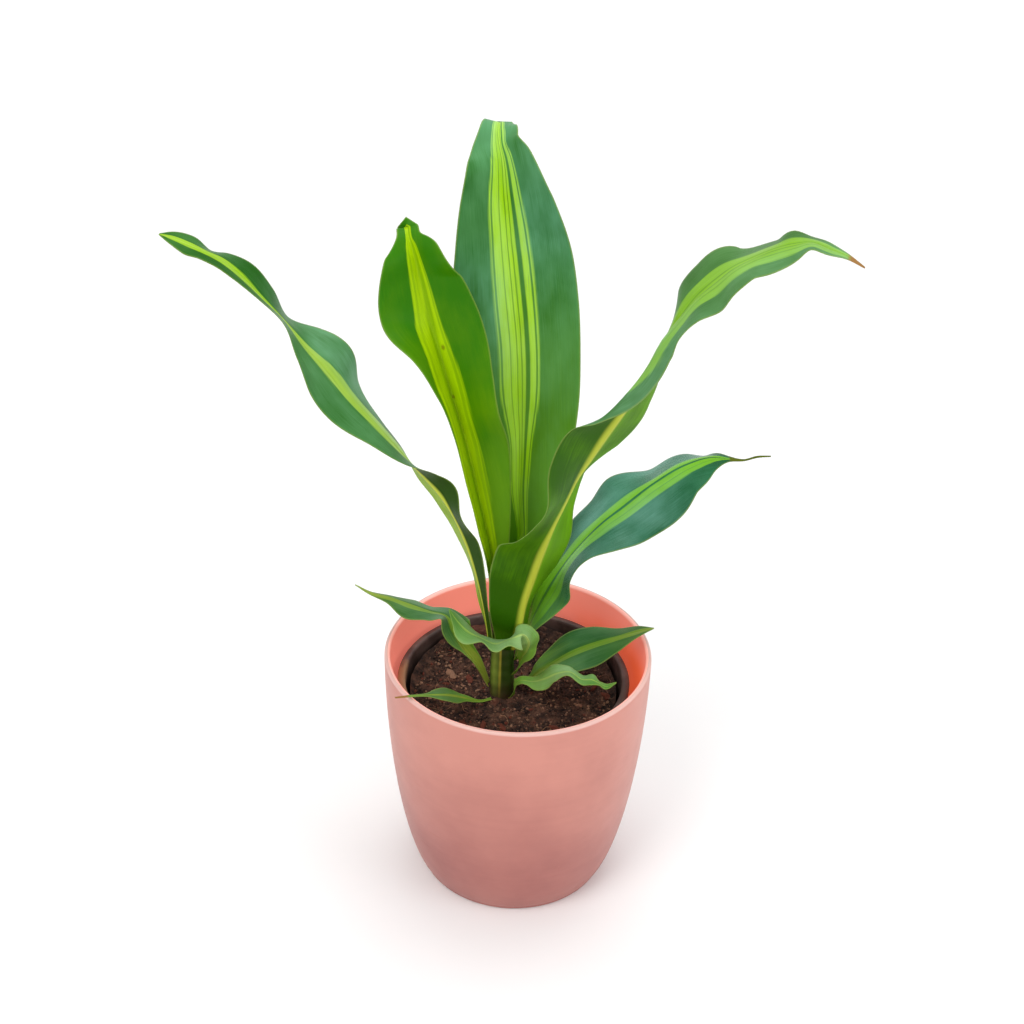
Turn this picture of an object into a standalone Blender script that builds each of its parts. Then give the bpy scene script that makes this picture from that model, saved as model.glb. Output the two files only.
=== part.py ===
"""Potted dracaena: a broad-leaved house plant in its nursery pot, standing in a glazed outer pot.

Units are metres in Blender and millimetres in the tables below, +Z up. The origin is the middle
of the outer pot's flat base. The plant's show side faces -Y.
"""

import math
from dataclasses import dataclass

import bpy
import numpy as np

MM = 0.001
GAP = 0.3

# Outer pot: a bulging cup, slightly wider at the rim than at the foot.
POT_RIM_RADIUS = 69.0
POT_FOOT_RADIUS = 47.4
POT_HEIGHT = 134.5
POT_WALL = 3.0
POT_FLOOR = 4.0
POT_FOOT_ROUND = 2.0
POT_BULGE_HEIGHT_POWER = 1.865
POT_BULGE_WIDTH_POWER = 0.6275
POT_SIDE_RINGS = 9
POT_RING_CROWDING = 1.3
POT_INNER_CORNER = 4.0
POT_LIP_STEPS = 5
POT_FOOT_STEPS = 2

# Nursery pot: thin moulded plastic with a turned-out lip and round drain holes.
NURSERY_CENTRE_X = -2.0
NURSERY_RIM_RADIUS = 60.5
NURSERY_BASE_RADIUS = 42.0
NURSERY_TOP = 118.0
NURSERY_BASE = POT_FLOOR + GAP
NURSERY_WALL = 0.9
NURSERY_LIP_WIDTH = 3.5
NURSERY_LIP_DEPTH = 7.0
NURSERY_LIP_SHELL = 1.1
NURSERY_LIP_ROUND = 1.4
NURSERY_EDGE = 0.5
NURSERY_FLOOR_CORNER = 1.0
NURSERY_FOOT_BEVEL = 2.0
DRAIN_HOLES = 6
DRAIN_RADIUS = 4.0
DRAIN_RING_RADIUS = 29.0

# Soil: fills the nursery pot and stops below its lip.
SOIL_TOP = 104.5
SOIL_DOME = 1.0
SOIL_RELIEF = 0.7
SOIL_RINGS = (10.0, 20.0, 30.0, 40.0, 48.0)
SOIL_EDGE_DROP = 4.0
SOIL_FOOT_TAPER = 1.2
SOIL_ROLL_LOBES = 3
SOIL_ROLL_LENGTH = 9.0
SOIL_RIPPLE_LOBES = 7
SOIL_RIPPLE_LENGTH = 6.0
SOIL_RIPPLE_SHARE = 0.5
SOIL_CALM_RADIUS = 12.0
# The soil banks up against the wall, most of all at the back left.
SOIL_BANK_HEIGHT = 5.0
SOIL_BANK_START = 22.0
SOIL_BANK_ANGLE = math.radians(110.0)

# Stem: short and round, rooted in a plain hole in the soil.
STEM_X = -8.0
STEM_Y = 0.5
STEM_TOP = 169.8
STEM_PROFILE = (
    # height, radius
    (62.0, 4.5), (64.0, 6.0), (85.0, 6.6), (104.0, 6.7), (112.0, 6.5), (124.0, 6.3),
    (136.0, 6.0), (148.0, 5.4), (157.0, 4.4), (164.0, 3.0), (169.0, 1.2),
)

# Leaves: blade thickness, and the point in front of the plant that a leaf with no turn faces.
LEAF_THICKNESS = 0.7
LEAF_TIP_HALF = 0.5
WRAP_STEPS = 12
FACED_POINT = np.array((-5.0, -806.0, 730.0))

# Facets round the pots and the soil, round the stem and round a cutter, and how far a cutter
# reaches past what it cuts.
ROUND_SEGMENTS = 40
STEM_SEGMENTS = 24
CUTTER_SEGMENTS = 16
CUTTER_REACH = 3.0


@dataclass(frozen=True)
class Leaf:
    """One leaf: its ribs from base to tip, and how finely its blade is divided.

    A rib is (x, y, z, half width, turn, left, right, left wrap, right wrap). The point is on the
    midrib, in millimetres. The angles are in degrees: turn rolls the whole blade about its midrib
    from facing FACED_POINT, left and right lift each half blade toward the leaf's upper face, and
    wrap bends a half blade further on its way out to the margin.
    """

    name: str
    colour: tuple
    ribs: tuple
    steps: int = 26
    across: int = 4


GREEN = (0.10, 0.30, 0.02)
LIME = (0.22, 0.48, 0.02)
BLUE_GREEN = (0.06, 0.26, 0.12)
PALE_GREEN = (0.30, 0.48, 0.16)

LEAVES = (
    Leaf("leaf_centre", BLUE_GREEN, (
        (-6.5, 5.8, 156, 5, 0, 0, 0, 56, 56),
        (-2, 6.9, 174, 7.8, 0, 10, 10, 28, 30),
        (-1, 9, 194, 12, 0, 25, 25, 10, 10),
        (-1.2, 15, 217, 19, 0, 25, 25, 0, 0),
        (-1.8, 23, 241, 26, 0, 15, 15, 0, 0),
        (-2.5, 31, 265, 30, 0, 15, 15, 0, 0),
        (-3.6, 39, 289, 31, 0, 15, 15, 0, 0),
        (-6.2, 46, 312, 31.5, 0, 15, 12, 0, 0),
        (-8.8, 54, 335, 30, 0, 25, 15, 0, 0),
        (-11.3, 62, 358, 25.5, 0, 28, 32, 0, 0),
        (-14, 70, 375, 19, 0, 30, 44, 0, 0),
        (-15.7, 75, 381.5, 13, 0, 20, 44, 0, 0),
        (-16.2, 80, 386.5, 9.5, 0, 25, 20, 0, 0),
        (-16, 87, 387.4, 6.5, 0, 5, 5, 0, 0),
        (-16.2, 94, 383.4, 5.5, 0, 0, 0, 0, 0),
        (-16.4, 100, 378.6, 4, 0, 0, 0, 0, 0),
        (-16.5, 104, 375, 0.6, 0, 0, 0, 0, 0),
    ), steps=30, across=3),
    Leaf("leaf_left_upright", LIME, (
        (-13.6, -0.5, 153, 4.3, -92, 0, 0, 38, 38),
        (-13.6, -0.9, 162, 5.2, -84, 0, 0, 26, 22),
        (-13.1, -1.4, 173, 6.3, -50, 18, 18, 16, 14),
        (-14.4, -2, 192, 9, -10, 62, 35, 0, 0),
        (-18.7, -3, 216, 14, 0, 74, 25, 0, 0),
        (-22.9, -3, 236, 18, 0, 77, 22, 0, 0),
        (-27, -2, 255, 21, 0, 77, 22, 0, 0),
        (-32, 0, 273, 23, 0, 78, 35, 0, 0),
        (-37.5, 3, 290.5, 24, 0, 74, 26, 0, 0),
        (-42.4, 6, 307.5, 24.5, 0, 60, 16, 0, 0),
        (-47.3, 10, 323.5, 24, 0, 23, 20, 0, 0),
        (-50.7, 13, 337.5, 22, 0, 24, 30, 0, 0),
        (-54, 16, 351, 15.5, 0, 30, 42, 0, 0),
        (-56, 19, 356, 6.6, 0, 20, 20, 0, 0),
        (-57, 24, 358.8, 5.2, 0, 5, 5, 0, 0),
        (-57.5, 31, 355, 4.2, 0, 0, 0, 0, 0),
        (-57.8, 37, 350.6, 3, 0, 0, 0, 0, 0),
        (-58, 41, 347.2, 0.6, 0, 0, 0, 0, 0),
    ), steps=30, across=3),
    Leaf("leaf_left_arching", GREEN, (
        (-15, -1, 136, 4.6, -102, 0, 0, 38, 38),
        (-15.9, -1.6, 147, 5, -105, 0, 0, 22, 22),
        (-18, -0.6, 161, 6.3, -108, 0, 0, 0, 0),
        (-21.9, 4, 177, 8.8, -100, 16, 0, 0, 0),
        (-28.3, 8, 196.4, 10.5, -115, 8, 8, 0, 0),
        (-35, 10, 211.6, 11, -108, -3, -3, 0, 0),
        (-41, 12, 220.5, 11.5, -122, 14, 14, 0, 0),
        (-48, 14, 228.4, 12, -110, 6, 6, 0, 0),
        (-58, 16, 239, 13, -82, -2, -2, 0, 0),
        (-70.5, 19, 253, 14, -64, -13, -13, 0, 0),
        (-85.7, 22, 269.3, 16.5, -44, -17, -17, 0, 0),
        (-97.7, 25, 284, 17.5, -34, 8, 8, 0, 0),
        (-107.3, 27, 294, 16.5, -56, 10, 10, 0, 0),
        (-116.4, 30, 305, 15, -82, 2, 2, 0, 0),
        (-127.8, 33, 316.3, 13, -70, 13, 13, 0, 0),
        (-138.2, 36, 327.3, 11.5, -60, 10, 10, 0, 0),
        (-146.7, 38, 334, 10, -64, -3, -3, 0, 0),
        (-154.5, 40, 337, 9, -70, -12, -12, 0, 0),
        (-163.2, 42, 340, 7.5, -50, -8, -8, 0, 0),
        (-170.9, 43, 342.5, 5, -52, -3, -3, 0, 0),
        (-177.2, 44, 343.4, 0.6, -50, 0, 0, 0, 0),
    ), steps=40, across=3),
    Leaf("leaf_right_arching", GREEN, (
        (-2.4, -5.1, 139, 9.4, 138, 0, 0, 66, 66),
        (0, -7.9, 152, 14, 150, 33, 20, 30, 20),
        (2.2, -10, 170, 18, 150, 33, 15, 20, 20),
        (5.8, -13, 188, 21.5, 150, 25, 10, 15, 15),
        (9.3, -17, 204, 22, 145, 23, 16, 8, 8),
        (14.5, -22, 223, 22, 120, 18, 8, 0, 0),
        (20, -28, 242, 22, 108, 13, 2, 0, 0),
        (25, -33, 259, 22, 104, 4, 4, 0, 0),
        (30.4, -38, 273, 22, 118, 8, 10, 0, 0),
        (37.7, -44, 291, 20, 126, 9, 20, 0, -20),
        (43.6, -48, 304, 19, 115, 2, 20, 0, -50),
        (49.5, -51, 317, 18.5, 105, -1, 35, 0, -110),
        (54.7, -54, 331.5, 18.5, 95, 0, 25, 0, -98),
        (60.5, -57, 348, 19, 80, -4, 30, 0, -84),
        (65.6, -60, 360, 19, 68, 3, 4, 0, 0),
        (71.6, -62, 369.4, 19, 62, 4, 4, 0, 0),
        (78, -64, 377, 18, 52, 0, 0, 0, 0),
        (85.5, -67, 385.6, 17, 62, -6, -6, 0, 0),
        (93.3, -68, 390.8, 15, 67, -9, -9, 0, 0),
        (101, -70, 395.6, 13, 60, -15, -15, 0, 0),
        (109, -71, 398.5, 11, 55, -5, -5, 0, 0),
        (115.6, -72, 400, 8.5, 71, -4, -4, 0, 0),
        (123, -74, 398, 5.5, 63, 0, 0, 0, 0),
        (130, -75, 395.6, 2.5, 60, 0, 0, 0, 0),
        (138, -76, 391, 0.6, 60, 0, 0, 0, 0),
    ), steps=46, across=4),
    Leaf("leaf_right_low", BLUE_GREEN, (
        (-0.6, 1.2, 128, 5.3, 88, 0, 0, 35, 35),
        (3.2, 5.8, 138.5, 5.3, 75, 8, 8, 15, 15),
        (6.3, 8, 147.5, 7, 55, -5, -5, 0, 0),
        (13, 10, 164.3, 12.5, 15, -5, -5, 0, 0),
        (21, 13, 178.5, 16, 60, 0, 0, 0, 0),
        (31, 17, 191.5, 19, 58, 4, 5, 0, 0),
        (40.7, 20, 202, 21, 46, -10, -9, 0, 0),
        (51, 23, 210, 22, 30, -14, -15, 0, 0),
        (65.6, 27, 221.5, 23, 42, -30, -31, 0, 0),
        (82, 31, 231, 18, 52, -21, -21, 0, 0),
        (93.7, 32, 234.7, 11.5, 60, -25, -26, 0, 0),
        (103.3, 32, 233.8, 3, 60, 0, 0, 0, 0),
        (111.4, 32, 233.4, 1, 60, 0, 0, 0, 0),
        (117.4, 32, 235.4, 1, 60, 0, 0, 0, 0),
        (124.4, 32, 236, 0.6, 60, 0, 0, 0, 0),
    ), steps=32, across=3),
    Leaf("leaf_small_left", GREEN, (
        (-15.5, -0.5, 112, 4, -75, 0, 0, 35, 35),
        (-22.4, 3, 123, 5.2, -60, 30, 30, 0, 0),
        (-29.2, 6, 131.5, 6.5, -45, 30, 30, 0, 0),
        (-34.5, 8, 141, 10.5, -25, 35, 15, 0, 0),
        (-38, 12, 146.5, 11, -45, 30, -15, 0, 0),
        (-46, 14, 148, 9, -64, -9, -9, 0, 0),
        (-57, 17, 150, 9, -52, -21, -20, 0, 0),
        (-67, 20, 151.6, 5, -60, -14, -15, 0, 0),
        (-78, 21, 154, 2, -65, -5, -5, 0, 0),
        (-85.6, 22, 158, 0.6, -65, 0, 0, 0, 0),
    ), steps=22, across=2),
    Leaf("leaf_small_front", PALE_GREEN, (
        (-1.3, -2.4, 121.5, 2.8, 112, 0, 0, 22, 22),
        (0.8, -4.5, 128.5, 3, 80, 10, 10, 0, 0),
        (2.2, -7, 135.8, 3.4, 25, 20, 20, 0, 0),
        (4.2, -10.3, 142, 5.8, -35, -15, -15, 0, 0),
        (5.3, -14, 150.2, 7.5, -25, -25, -25, 0, 0),
        (1.6, -17.2, 157.2, 7.5, -12, -52, -52, 0, 0),
        (-4.4, -19, 155.8, 8, -73, -15, -15, 0, 0),
        (-12, -20.2, 153.3, 8.5, -67, -7, -7, 0, 0),
        (-18.4, -19.5, 155.9, 8.5, -78, 0, -2, 0, 0),
        (-25.6, -18, 159, 8.5, -55, -17, -17, 0, 0),
        (-31.2, -15, 163, 6, -61, -2, -2, 0, 0),
        (-35.3, -13, 168.5, 0.6, -60, 0, 0, 0, 0),
    ), steps=28, across=2),
    Leaf("leaf_small_right", GREEN, (
        (-2.4, 6.1, 108.6, 3, 46, 0, 0, 16, 20),
        (4.7, 7, 109.5, 3.5, 70, 10, 10, 0, 0),
        (11.8, 7, 116.4, 6.5, 40, 0, 0, 0, 0),
        (18.5, 8, 121, 9.5, 41, 4, 4, 0, 0),
        (28.7, 8, 128.6, 12, 30, 0, 0, 0, 0),
        (38.9, 8, 134, 12.5, 35, -10, -10, 0, 0),
        (51.6, 7, 139.7, 9, 50, -13, -14, 0, 0),
        (63.6, 5, 145.4, 4.5, 60, 0, 0, 0, 0),
        (69.6, 4, 148, 0.6, 63, 0, 0, 0, 0),
    ), steps=18, across=2),
    Leaf("leaf_small_wavy", PALE_GREEN, (
        (-2.5, -5.2, 108.5, 3, 110, 0, 0, 20, 20),
        (2.2, -8, 121.1, 3, 50, 15, 15, 0, 0),
        (7.5, -9, 121.5, 4.5, 55, 0, 0, 0, 0),
        (14, -13, 126.5, 7.5, 48, 0, 0, 0, 0),
        (20.6, -16, 132.5, 7, 57, 0, 0, 0, 0),
        (26.6, -18, 135, 6, 70, 0, 0, 0, 0),
        (32.8, -20, 132, 5.5, 65, 0, 0, 0, 0),
        (38, -21.5, 133, 5.5, 60, 0, 0, 0, 0),
        (42, -22.5, 131.5, 3, 70, 0, 0, 0, 0),
        (44.5, -23, 130.3, 2.5, 55, 0, 0, 0, 0),
        (50, -24, 133.5, 0.6, 55, 0, 0, 0, 0),
    ), steps=24, across=2),
    Leaf("leaf_on_soil", GREEN, (
        (-12.5, -5.1, 107.2, 1.2, -50, 0, 0, 0, 0),
        (-17.5, -9, 108.3, 1, -50, 0, 0, 0, 0),
        (-26.7, -17, 116, 2.5, -50, 0, 0, 0, 0),
        (-35.5, -28, 126, 5.5, -50, 0, 0, 0, 0),
        (-40, -33, 129.8, 4, -50, 0, 0, 0, 0),
        (-44.7, -37, 132.7, 1.6, -50, 0, 0, 0, 0),
        (-53.4, -43, 136.4, 0.9, -50, 0, 0, 0, 0),
        (-60.5, -47, 138.3, 0.6, -50, 0, 0, 0, 0),
    ), steps=16, across=2),
)


def clear_scene():
    """Remove whatever the open file holds."""
    for old in list(bpy.data.objects):
        bpy.data.objects.remove(old, do_unlink=True)


def make_collection(name):
    """Make a collection and link it to the scene."""
    group = bpy.data.collections.new(name)
    bpy.context.scene.collection.children.link(group)
    return group


def make_material(name, colour, roughness, metallic=0.0):
    """Make a plain Principled material."""
    material = bpy.data.materials.new(name)
    material.use_nodes = True
    shader = material.node_tree.nodes["Principled BSDF"]
    shader.inputs["Base Color"].default_value = (*colour, 1.0)
    shader.inputs["Roughness"].default_value = roughness
    shader.inputs["Metallic"].default_value = metallic
    return material


def add_mesh_object(name, points, faces, group, material=None):
    """Make an object from points in millimetres."""
    mesh = bpy.data.meshes.new(name)
    mesh.from_pydata([tuple(c * MM for c in point) for point in points], [], faces)
    if material:
        mesh.materials.append(material)
    part = bpy.data.objects.new(name, mesh)
    group.objects.link(part)
    return part


def turn_profile(name, profile, group, material=None, segments=ROUND_SEGMENTS):
    """Turn a profile of (radius, height) points about Z, down its outer side."""
    mesh = bpy.data.meshes.new(name)
    points = [(radius * MM, 0.0, height * MM) for radius, height in profile]
    edges = [(i, i + 1) for i in range(len(points) - 1)]
    if profile[0] == profile[-1]:
        points.pop()
        edges[-1] = (edges[-1][0], 0)
    mesh.from_pydata(points, edges, [])
    if material:
        mesh.materials.append(material)
    part = bpy.data.objects.new(name, mesh)
    group.objects.link(part)
    screw = part.modifiers.new("Turn", "SCREW")
    screw.steps = segments
    screw.render_steps = segments
    screw.use_merge_vertices = True
    screw.merge_threshold = 0.0001
    screw.use_smooth_shade = True
    return part


def cut(part, cutter):
    """Cut one object with another."""
    boolean = part.modifiers.new("Cut " + cutter.name, "BOOLEAN")
    boolean.operation = "DIFFERENCE"
    boolean.object = cutter


def make_cutter(name, radius, bottom, top, place, group):
    """Make a round upright cutter."""
    bpy.ops.mesh.primitive_cylinder_add(
        vertices=CUTTER_SEGMENTS, radius=radius * MM, depth=(top - bottom) * MM,
        location=(place[0] * MM, place[1] * MM, (top + bottom) / 2 * MM))
    cutter = bpy.context.object
    cutter.name = name
    cutter.hide_render = True
    cutter.display_type = "WIRE"
    for other in list(cutter.users_collection):
        other.objects.unlink(cutter)
    group.objects.link(cutter)
    return cutter


def pot_side_radius(height):
    """Outer radius of the outer pot at a height."""
    rise = 1.0 - (1.0 - height / POT_HEIGHT) ** POT_BULGE_HEIGHT_POWER
    return POT_FOOT_RADIUS + (POT_RIM_RADIUS - POT_FOOT_RADIUS) * rise ** POT_BULGE_WIDTH_POWER


def arc(centre, radius, start, end, steps):
    """Points along an arc, angles in degrees."""
    angles = [math.radians(start + (end - start) * i / steps) for i in range(steps + 1)]
    return [(centre[0] + radius * math.cos(a), centre[1] + radius * math.sin(a)) for a in angles]


def build_outer_pot(group):
    """Glazed outer pot: flat foot, bulging side, rounded lip, plain inside."""
    lip = POT_WALL / 2
    side = POT_HEIGHT - lip - POT_FOOT_ROUND
    heights = [POT_FOOT_ROUND + side * (i / POT_SIDE_RINGS) ** POT_RING_CROWDING
               for i in range(POT_SIDE_RINGS + 1)]
    outside = [(pot_side_radius(h), h) for h in heights]
    foot_x = outside[0][0] - POT_FOOT_ROUND
    foot = arc((foot_x, POT_FOOT_ROUND), POT_FOOT_ROUND, 0, -90, POT_FOOT_STEPS)
    inside = [(r - POT_WALL, h) for r, h in outside if h > POT_FLOOR + POT_INNER_CORNER]
    inner_corner = (inside[0][0] - POT_INNER_CORNER, POT_FLOOR)
    rim = arc((POT_RIM_RADIUS - lip, POT_HEIGHT - lip), lip, 180, 0, POT_LIP_STEPS)
    profile = [(0.0, POT_FLOOR), inner_corner, *inside[:-1], *rim, *outside[-2:0:-1], *foot, (0.0, 0.0)]
    material = make_material("pot_glaze", (0.66, 0.31, 0.24), 0.3)
    return turn_profile("outer_pot", profile, group, material)


def build_nursery_pot(group, cutters):
    """Nursery pot: tapered thin wall, turned-out lip, floor with drain holes."""
    wall = NURSERY_WALL
    neck = NURSERY_RIM_RADIUS - NURSERY_LIP_WIDTH
    lip_low = NURSERY_TOP - NURSERY_LIP_DEPTH
    profile = [
        (0.0, NURSERY_BASE + wall),
        (NURSERY_BASE_RADIUS - wall - NURSERY_FLOOR_CORNER, NURSERY_BASE + wall),
        (NURSERY_BASE_RADIUS - wall, NURSERY_BASE + wall + NURSERY_FLOOR_CORNER),
        (neck - wall, lip_low),
        (neck - NURSERY_EDGE, NURSERY_TOP - NURSERY_EDGE),
        (neck + NURSERY_EDGE, NURSERY_TOP),
        (NURSERY_RIM_RADIUS - NURSERY_LIP_ROUND / 2, NURSERY_TOP - NURSERY_EDGE),
        (NURSERY_RIM_RADIUS, NURSERY_TOP - NURSERY_LIP_ROUND),
        (NURSERY_RIM_RADIUS - NURSERY_EDGE, lip_low - NURSERY_EDGE),
        (NURSERY_RIM_RADIUS - NURSERY_EDGE - NURSERY_LIP_SHELL, lip_low - NURSERY_EDGE),
        (NURSERY_RIM_RADIUS - NURSERY_LIP_SHELL, NURSERY_TOP - NURSERY_LIP_ROUND - NURSERY_EDGE),
        (neck + NURSERY_EDGE, NURSERY_TOP - NURSERY_LIP_ROUND),
        (neck, lip_low),
        (NURSERY_BASE_RADIUS, NURSERY_BASE + NURSERY_FOOT_BEVEL),
        (NURSERY_BASE_RADIUS - NURSERY_FOOT_BEVEL, NURSERY_BASE),
        (0.0, NURSERY_BASE),
    ]
    material = make_material("nursery_plastic", (0.035, 0.03, 0.028), 0.4)
    pot = turn_profile("nursery_pot", profile, group, material)
    pot.location.x = NURSERY_CENTRE_X * MM
    for i in range(DRAIN_HOLES):
        angle = 2.0 * math.pi * (i + 0.5) / DRAIN_HOLES
        place = (NURSERY_CENTRE_X + DRAIN_RING_RADIUS * math.cos(angle), DRAIN_RING_RADIUS * math.sin(angle))
        hole = make_cutter(f"drain_cutter_{i + 1}", DRAIN_RADIUS, NURSERY_BASE - CUTTER_REACH,
                           NURSERY_BASE + CUTTER_REACH, place, cutters)
        cut(pot, hole)
    return pot


def nursery_inside_radius(height):
    """Inner radius of the nursery pot's wall at a height."""
    low = (NURSERY_BASE_RADIUS - NURSERY_WALL, NURSERY_BASE + NURSERY_WALL + NURSERY_FLOOR_CORNER)
    high = (NURSERY_RIM_RADIUS - NURSERY_LIP_WIDTH - NURSERY_WALL, NURSERY_TOP - NURSERY_LIP_DEPTH)
    return low[0] + (high[0] - low[0]) * (height - low[1]) / (high[1] - low[1])


def soil_surface(radius, angle):
    """Height of the soil's top: a low dome, a loose rolling surface and a bank at the wall."""
    rim = nursery_inside_radius(SOIL_TOP)
    dome = SOIL_DOME * (1.0 - (radius / rim) ** 2)
    roll = math.sin(SOIL_ROLL_LOBES * angle) * math.sin(radius / SOIL_ROLL_LENGTH)
    ripple = SOIL_RIPPLE_SHARE * math.sin(SOIL_RIPPLE_LOBES * angle - radius / SOIL_RIPPLE_LENGTH)
    relief = SOIL_RELIEF * (roll + ripple) * min(1.0, radius / SOIL_CALM_RADIUS)
    climb = max(0.0, (radius - SOIL_BANK_START) / (rim - SOIL_BANK_START)) ** 2
    bank = SOIL_BANK_HEIGHT * climb * (1.0 + math.cos(angle - SOIL_BANK_ANGLE)) / 2
    return SOIL_TOP + dome + relief + bank


def build_soil(group, cutters):
    """Soil: fills the nursery pot, with a plain hole for the stem."""
    floor = NURSERY_BASE + NURSERY_WALL + GAP
    low_edge = SOIL_TOP - SOIL_EDGE_DROP
    rings = [(radius, None) for radius in (*SOIL_RINGS, nursery_inside_radius(SOIL_TOP) - GAP)]
    rings.append((nursery_inside_radius(low_edge) - GAP, low_edge))
    rings.append((nursery_inside_radius(floor) - GAP - SOIL_FOOT_TAPER, floor))
    points = [(0.0, 0.0, SOIL_TOP + SOIL_DOME)]
    for radius, height in rings:
        for i in range(ROUND_SEGMENTS):
            angle = 2.0 * math.pi * i / ROUND_SEGMENTS
            level = soil_surface(radius, angle) if height is None else height
            points.append((radius * math.cos(angle), radius * math.sin(angle), level))
    points.append((0.0, 0.0, floor))
    faces = [(0, 1 + i, 1 + (i + 1) % ROUND_SEGMENTS) for i in range(ROUND_SEGMENTS)]
    for ring in range(len(rings) - 1):
        first = 1 + ring * ROUND_SEGMENTS
        for i in range(ROUND_SEGMENTS):
            j = (i + 1) % ROUND_SEGMENTS
            faces.append((first + i, first + ROUND_SEGMENTS + i, first + ROUND_SEGMENTS + j, first + j))
    last = 1 + (len(rings) - 1) * ROUND_SEGMENTS
    centre = len(points) - 1
    faces += [(last + i, centre, last + (i + 1) % ROUND_SEGMENTS) for i in range(ROUND_SEGMENTS)]
    material = make_material("soil", (0.06, 0.035, 0.025), 0.95)
    soil = add_mesh_object("soil", points, faces, group, material)
    soil.location.x = NURSERY_CENTRE_X * MM
    widest = max(radius for height, radius in STEM_PROFILE if height <= SOIL_TOP)
    hole = make_cutter("stem_hole_cutter", widest + 2 * GAP, STEM_PROFILE[0][0] - GAP,
                       SOIL_TOP + CUTTER_REACH, (STEM_X, STEM_Y), cutters)
    cut(soil, hole)
    return soil


def build_stem(group):
    """Stem: the short round axis that every leaf base clasps."""
    profile = [(0.0, STEM_TOP)]
    profile += [(radius, height) for height, radius in reversed(STEM_PROFILE)]
    profile.append((0.0, STEM_PROFILE[0][0]))
    material = make_material("stem_green", (0.10, 0.16, 0.03), 0.45)
    stem = turn_profile("stem", profile, group, material, segments=STEM_SEGMENTS)
    stem.location = (STEM_X * MM, STEM_Y * MM, 0.0)
    return stem


def smooth_rows(rows, steps):
    """Read evenly spaced rows from a smooth curve through a leaf's ribs."""
    table = np.array(rows, dtype=float)
    spans = np.linalg.norm(np.diff(table[:, :3], axis=0), axis=1)
    reach = np.concatenate(([0.0], np.cumsum(spans)))
    slopes = np.gradient(table, reach, axis=0)
    result = []
    for s in np.linspace(0.0, reach[-1], steps + 1):
        k = min(int(np.searchsorted(reach, s, side="right")) - 1, len(reach) - 2)
        width = reach[k + 1] - reach[k]
        t = (s - reach[k]) / width
        result.append((2 * t**3 - 3 * t**2 + 1) * table[k] + (t**3 - 2 * t**2 + t) * width * slopes[k]
                      + (3 * t**2 - 2 * t**3) * table[k + 1] + (t**3 - t**2) * width * slopes[k + 1])
    return np.array(result)


def half_blade(side, face, half, lift, wrap, shares):
    """Offsets from the midrib out to one margin, for shares of the half width."""
    offsets = []
    middles = (np.arange(WRAP_STEPS) + 0.5) / WRAP_STEPS
    for share in shares:
        angles = np.radians(lift + wrap * share * middles)
        offsets.append(half * share * (np.cos(angles).mean() * side + np.sin(angles).mean() * face))
    return offsets


def leaf_grid(leaf):
    """Rows of points across a leaf's blade, in millimetres, from base to tip."""
    rows = smooth_rows(leaf.ribs, leaf.steps)
    tangents = np.gradient(rows[:, :3], axis=0)
    shares = [(i + 1) / leaf.across for i in range(leaf.across)]
    grid = []
    for row, tangent in zip(rows, tangents):
        forward = tangent / np.linalg.norm(tangent)
        side = np.cross(forward, FACED_POINT - row[:3])
        side /= np.linalg.norm(side)
        face = np.cross(side, forward)
        half, turn, left, right, left_wrap, right_wrap = row[3:]
        half = max(half, LEAF_TIP_HALF)
        left_side = half_blade(-side, face, half, left - turn, left_wrap, shares)
        right_side = half_blade(side, face, half, right + turn, right_wrap, shares)
        grid.append([row[:3] + o for o in reversed(left_side)] + [row[:3]] + [row[:3] + o for o in right_side])
    return grid


def build_leaf(leaf, group):
    """One leaf: a thin blade on its own ribs, the same triangles on both faces."""
    grid = leaf_grid(leaf)
    columns = len(grid[0])
    points = [point for row in grid for point in row]
    faces = []
    for i in range(len(grid) - 1):
        for j in range(columns - 1):
            a = i * columns + j
            b = a + columns
            if j < leaf.across:
                faces += [(a, a + 1, b), (a + 1, b + 1, b)]
            else:
                faces += [(a, a + 1, b + 1), (a, b + 1, b)]
    material = make_material(leaf.name + "_green", leaf.colour, 0.35)
    blade = add_mesh_object(leaf.name, points, faces, group, material)
    blade.data.shade_smooth()
    solid = blade.modifiers.new("Thickness", "SOLIDIFY")
    solid.thickness = LEAF_THICKNESS * MM
    solid.offset = 0.0
    solid.use_even_offset = False
    return blade


def main():
    """Build the pots, the soil, the stem and the leaves."""
    clear_scene()
    plant = make_collection("potted_dracaena")
    cutters = make_collection("cutters")
    build_outer_pot(plant)
    build_nursery_pot(plant, cutters)
    build_soil(plant, cutters)
    build_stem(plant)
    for leaf in LEAVES:
        build_leaf(leaf, plant)


main()
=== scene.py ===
"""Looks of the potted dracaena: fine leaves, stem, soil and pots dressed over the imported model.

Tables give millimetres; meshes are made in metres in the model's own frame, +Z up, the show side
towards -Y.
"""

from __future__ import annotations

import logging
import math
from dataclasses import dataclass, field
from enum import Enum

import bpy
import numpy as np
from mathutils import Matrix, Vector

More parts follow.
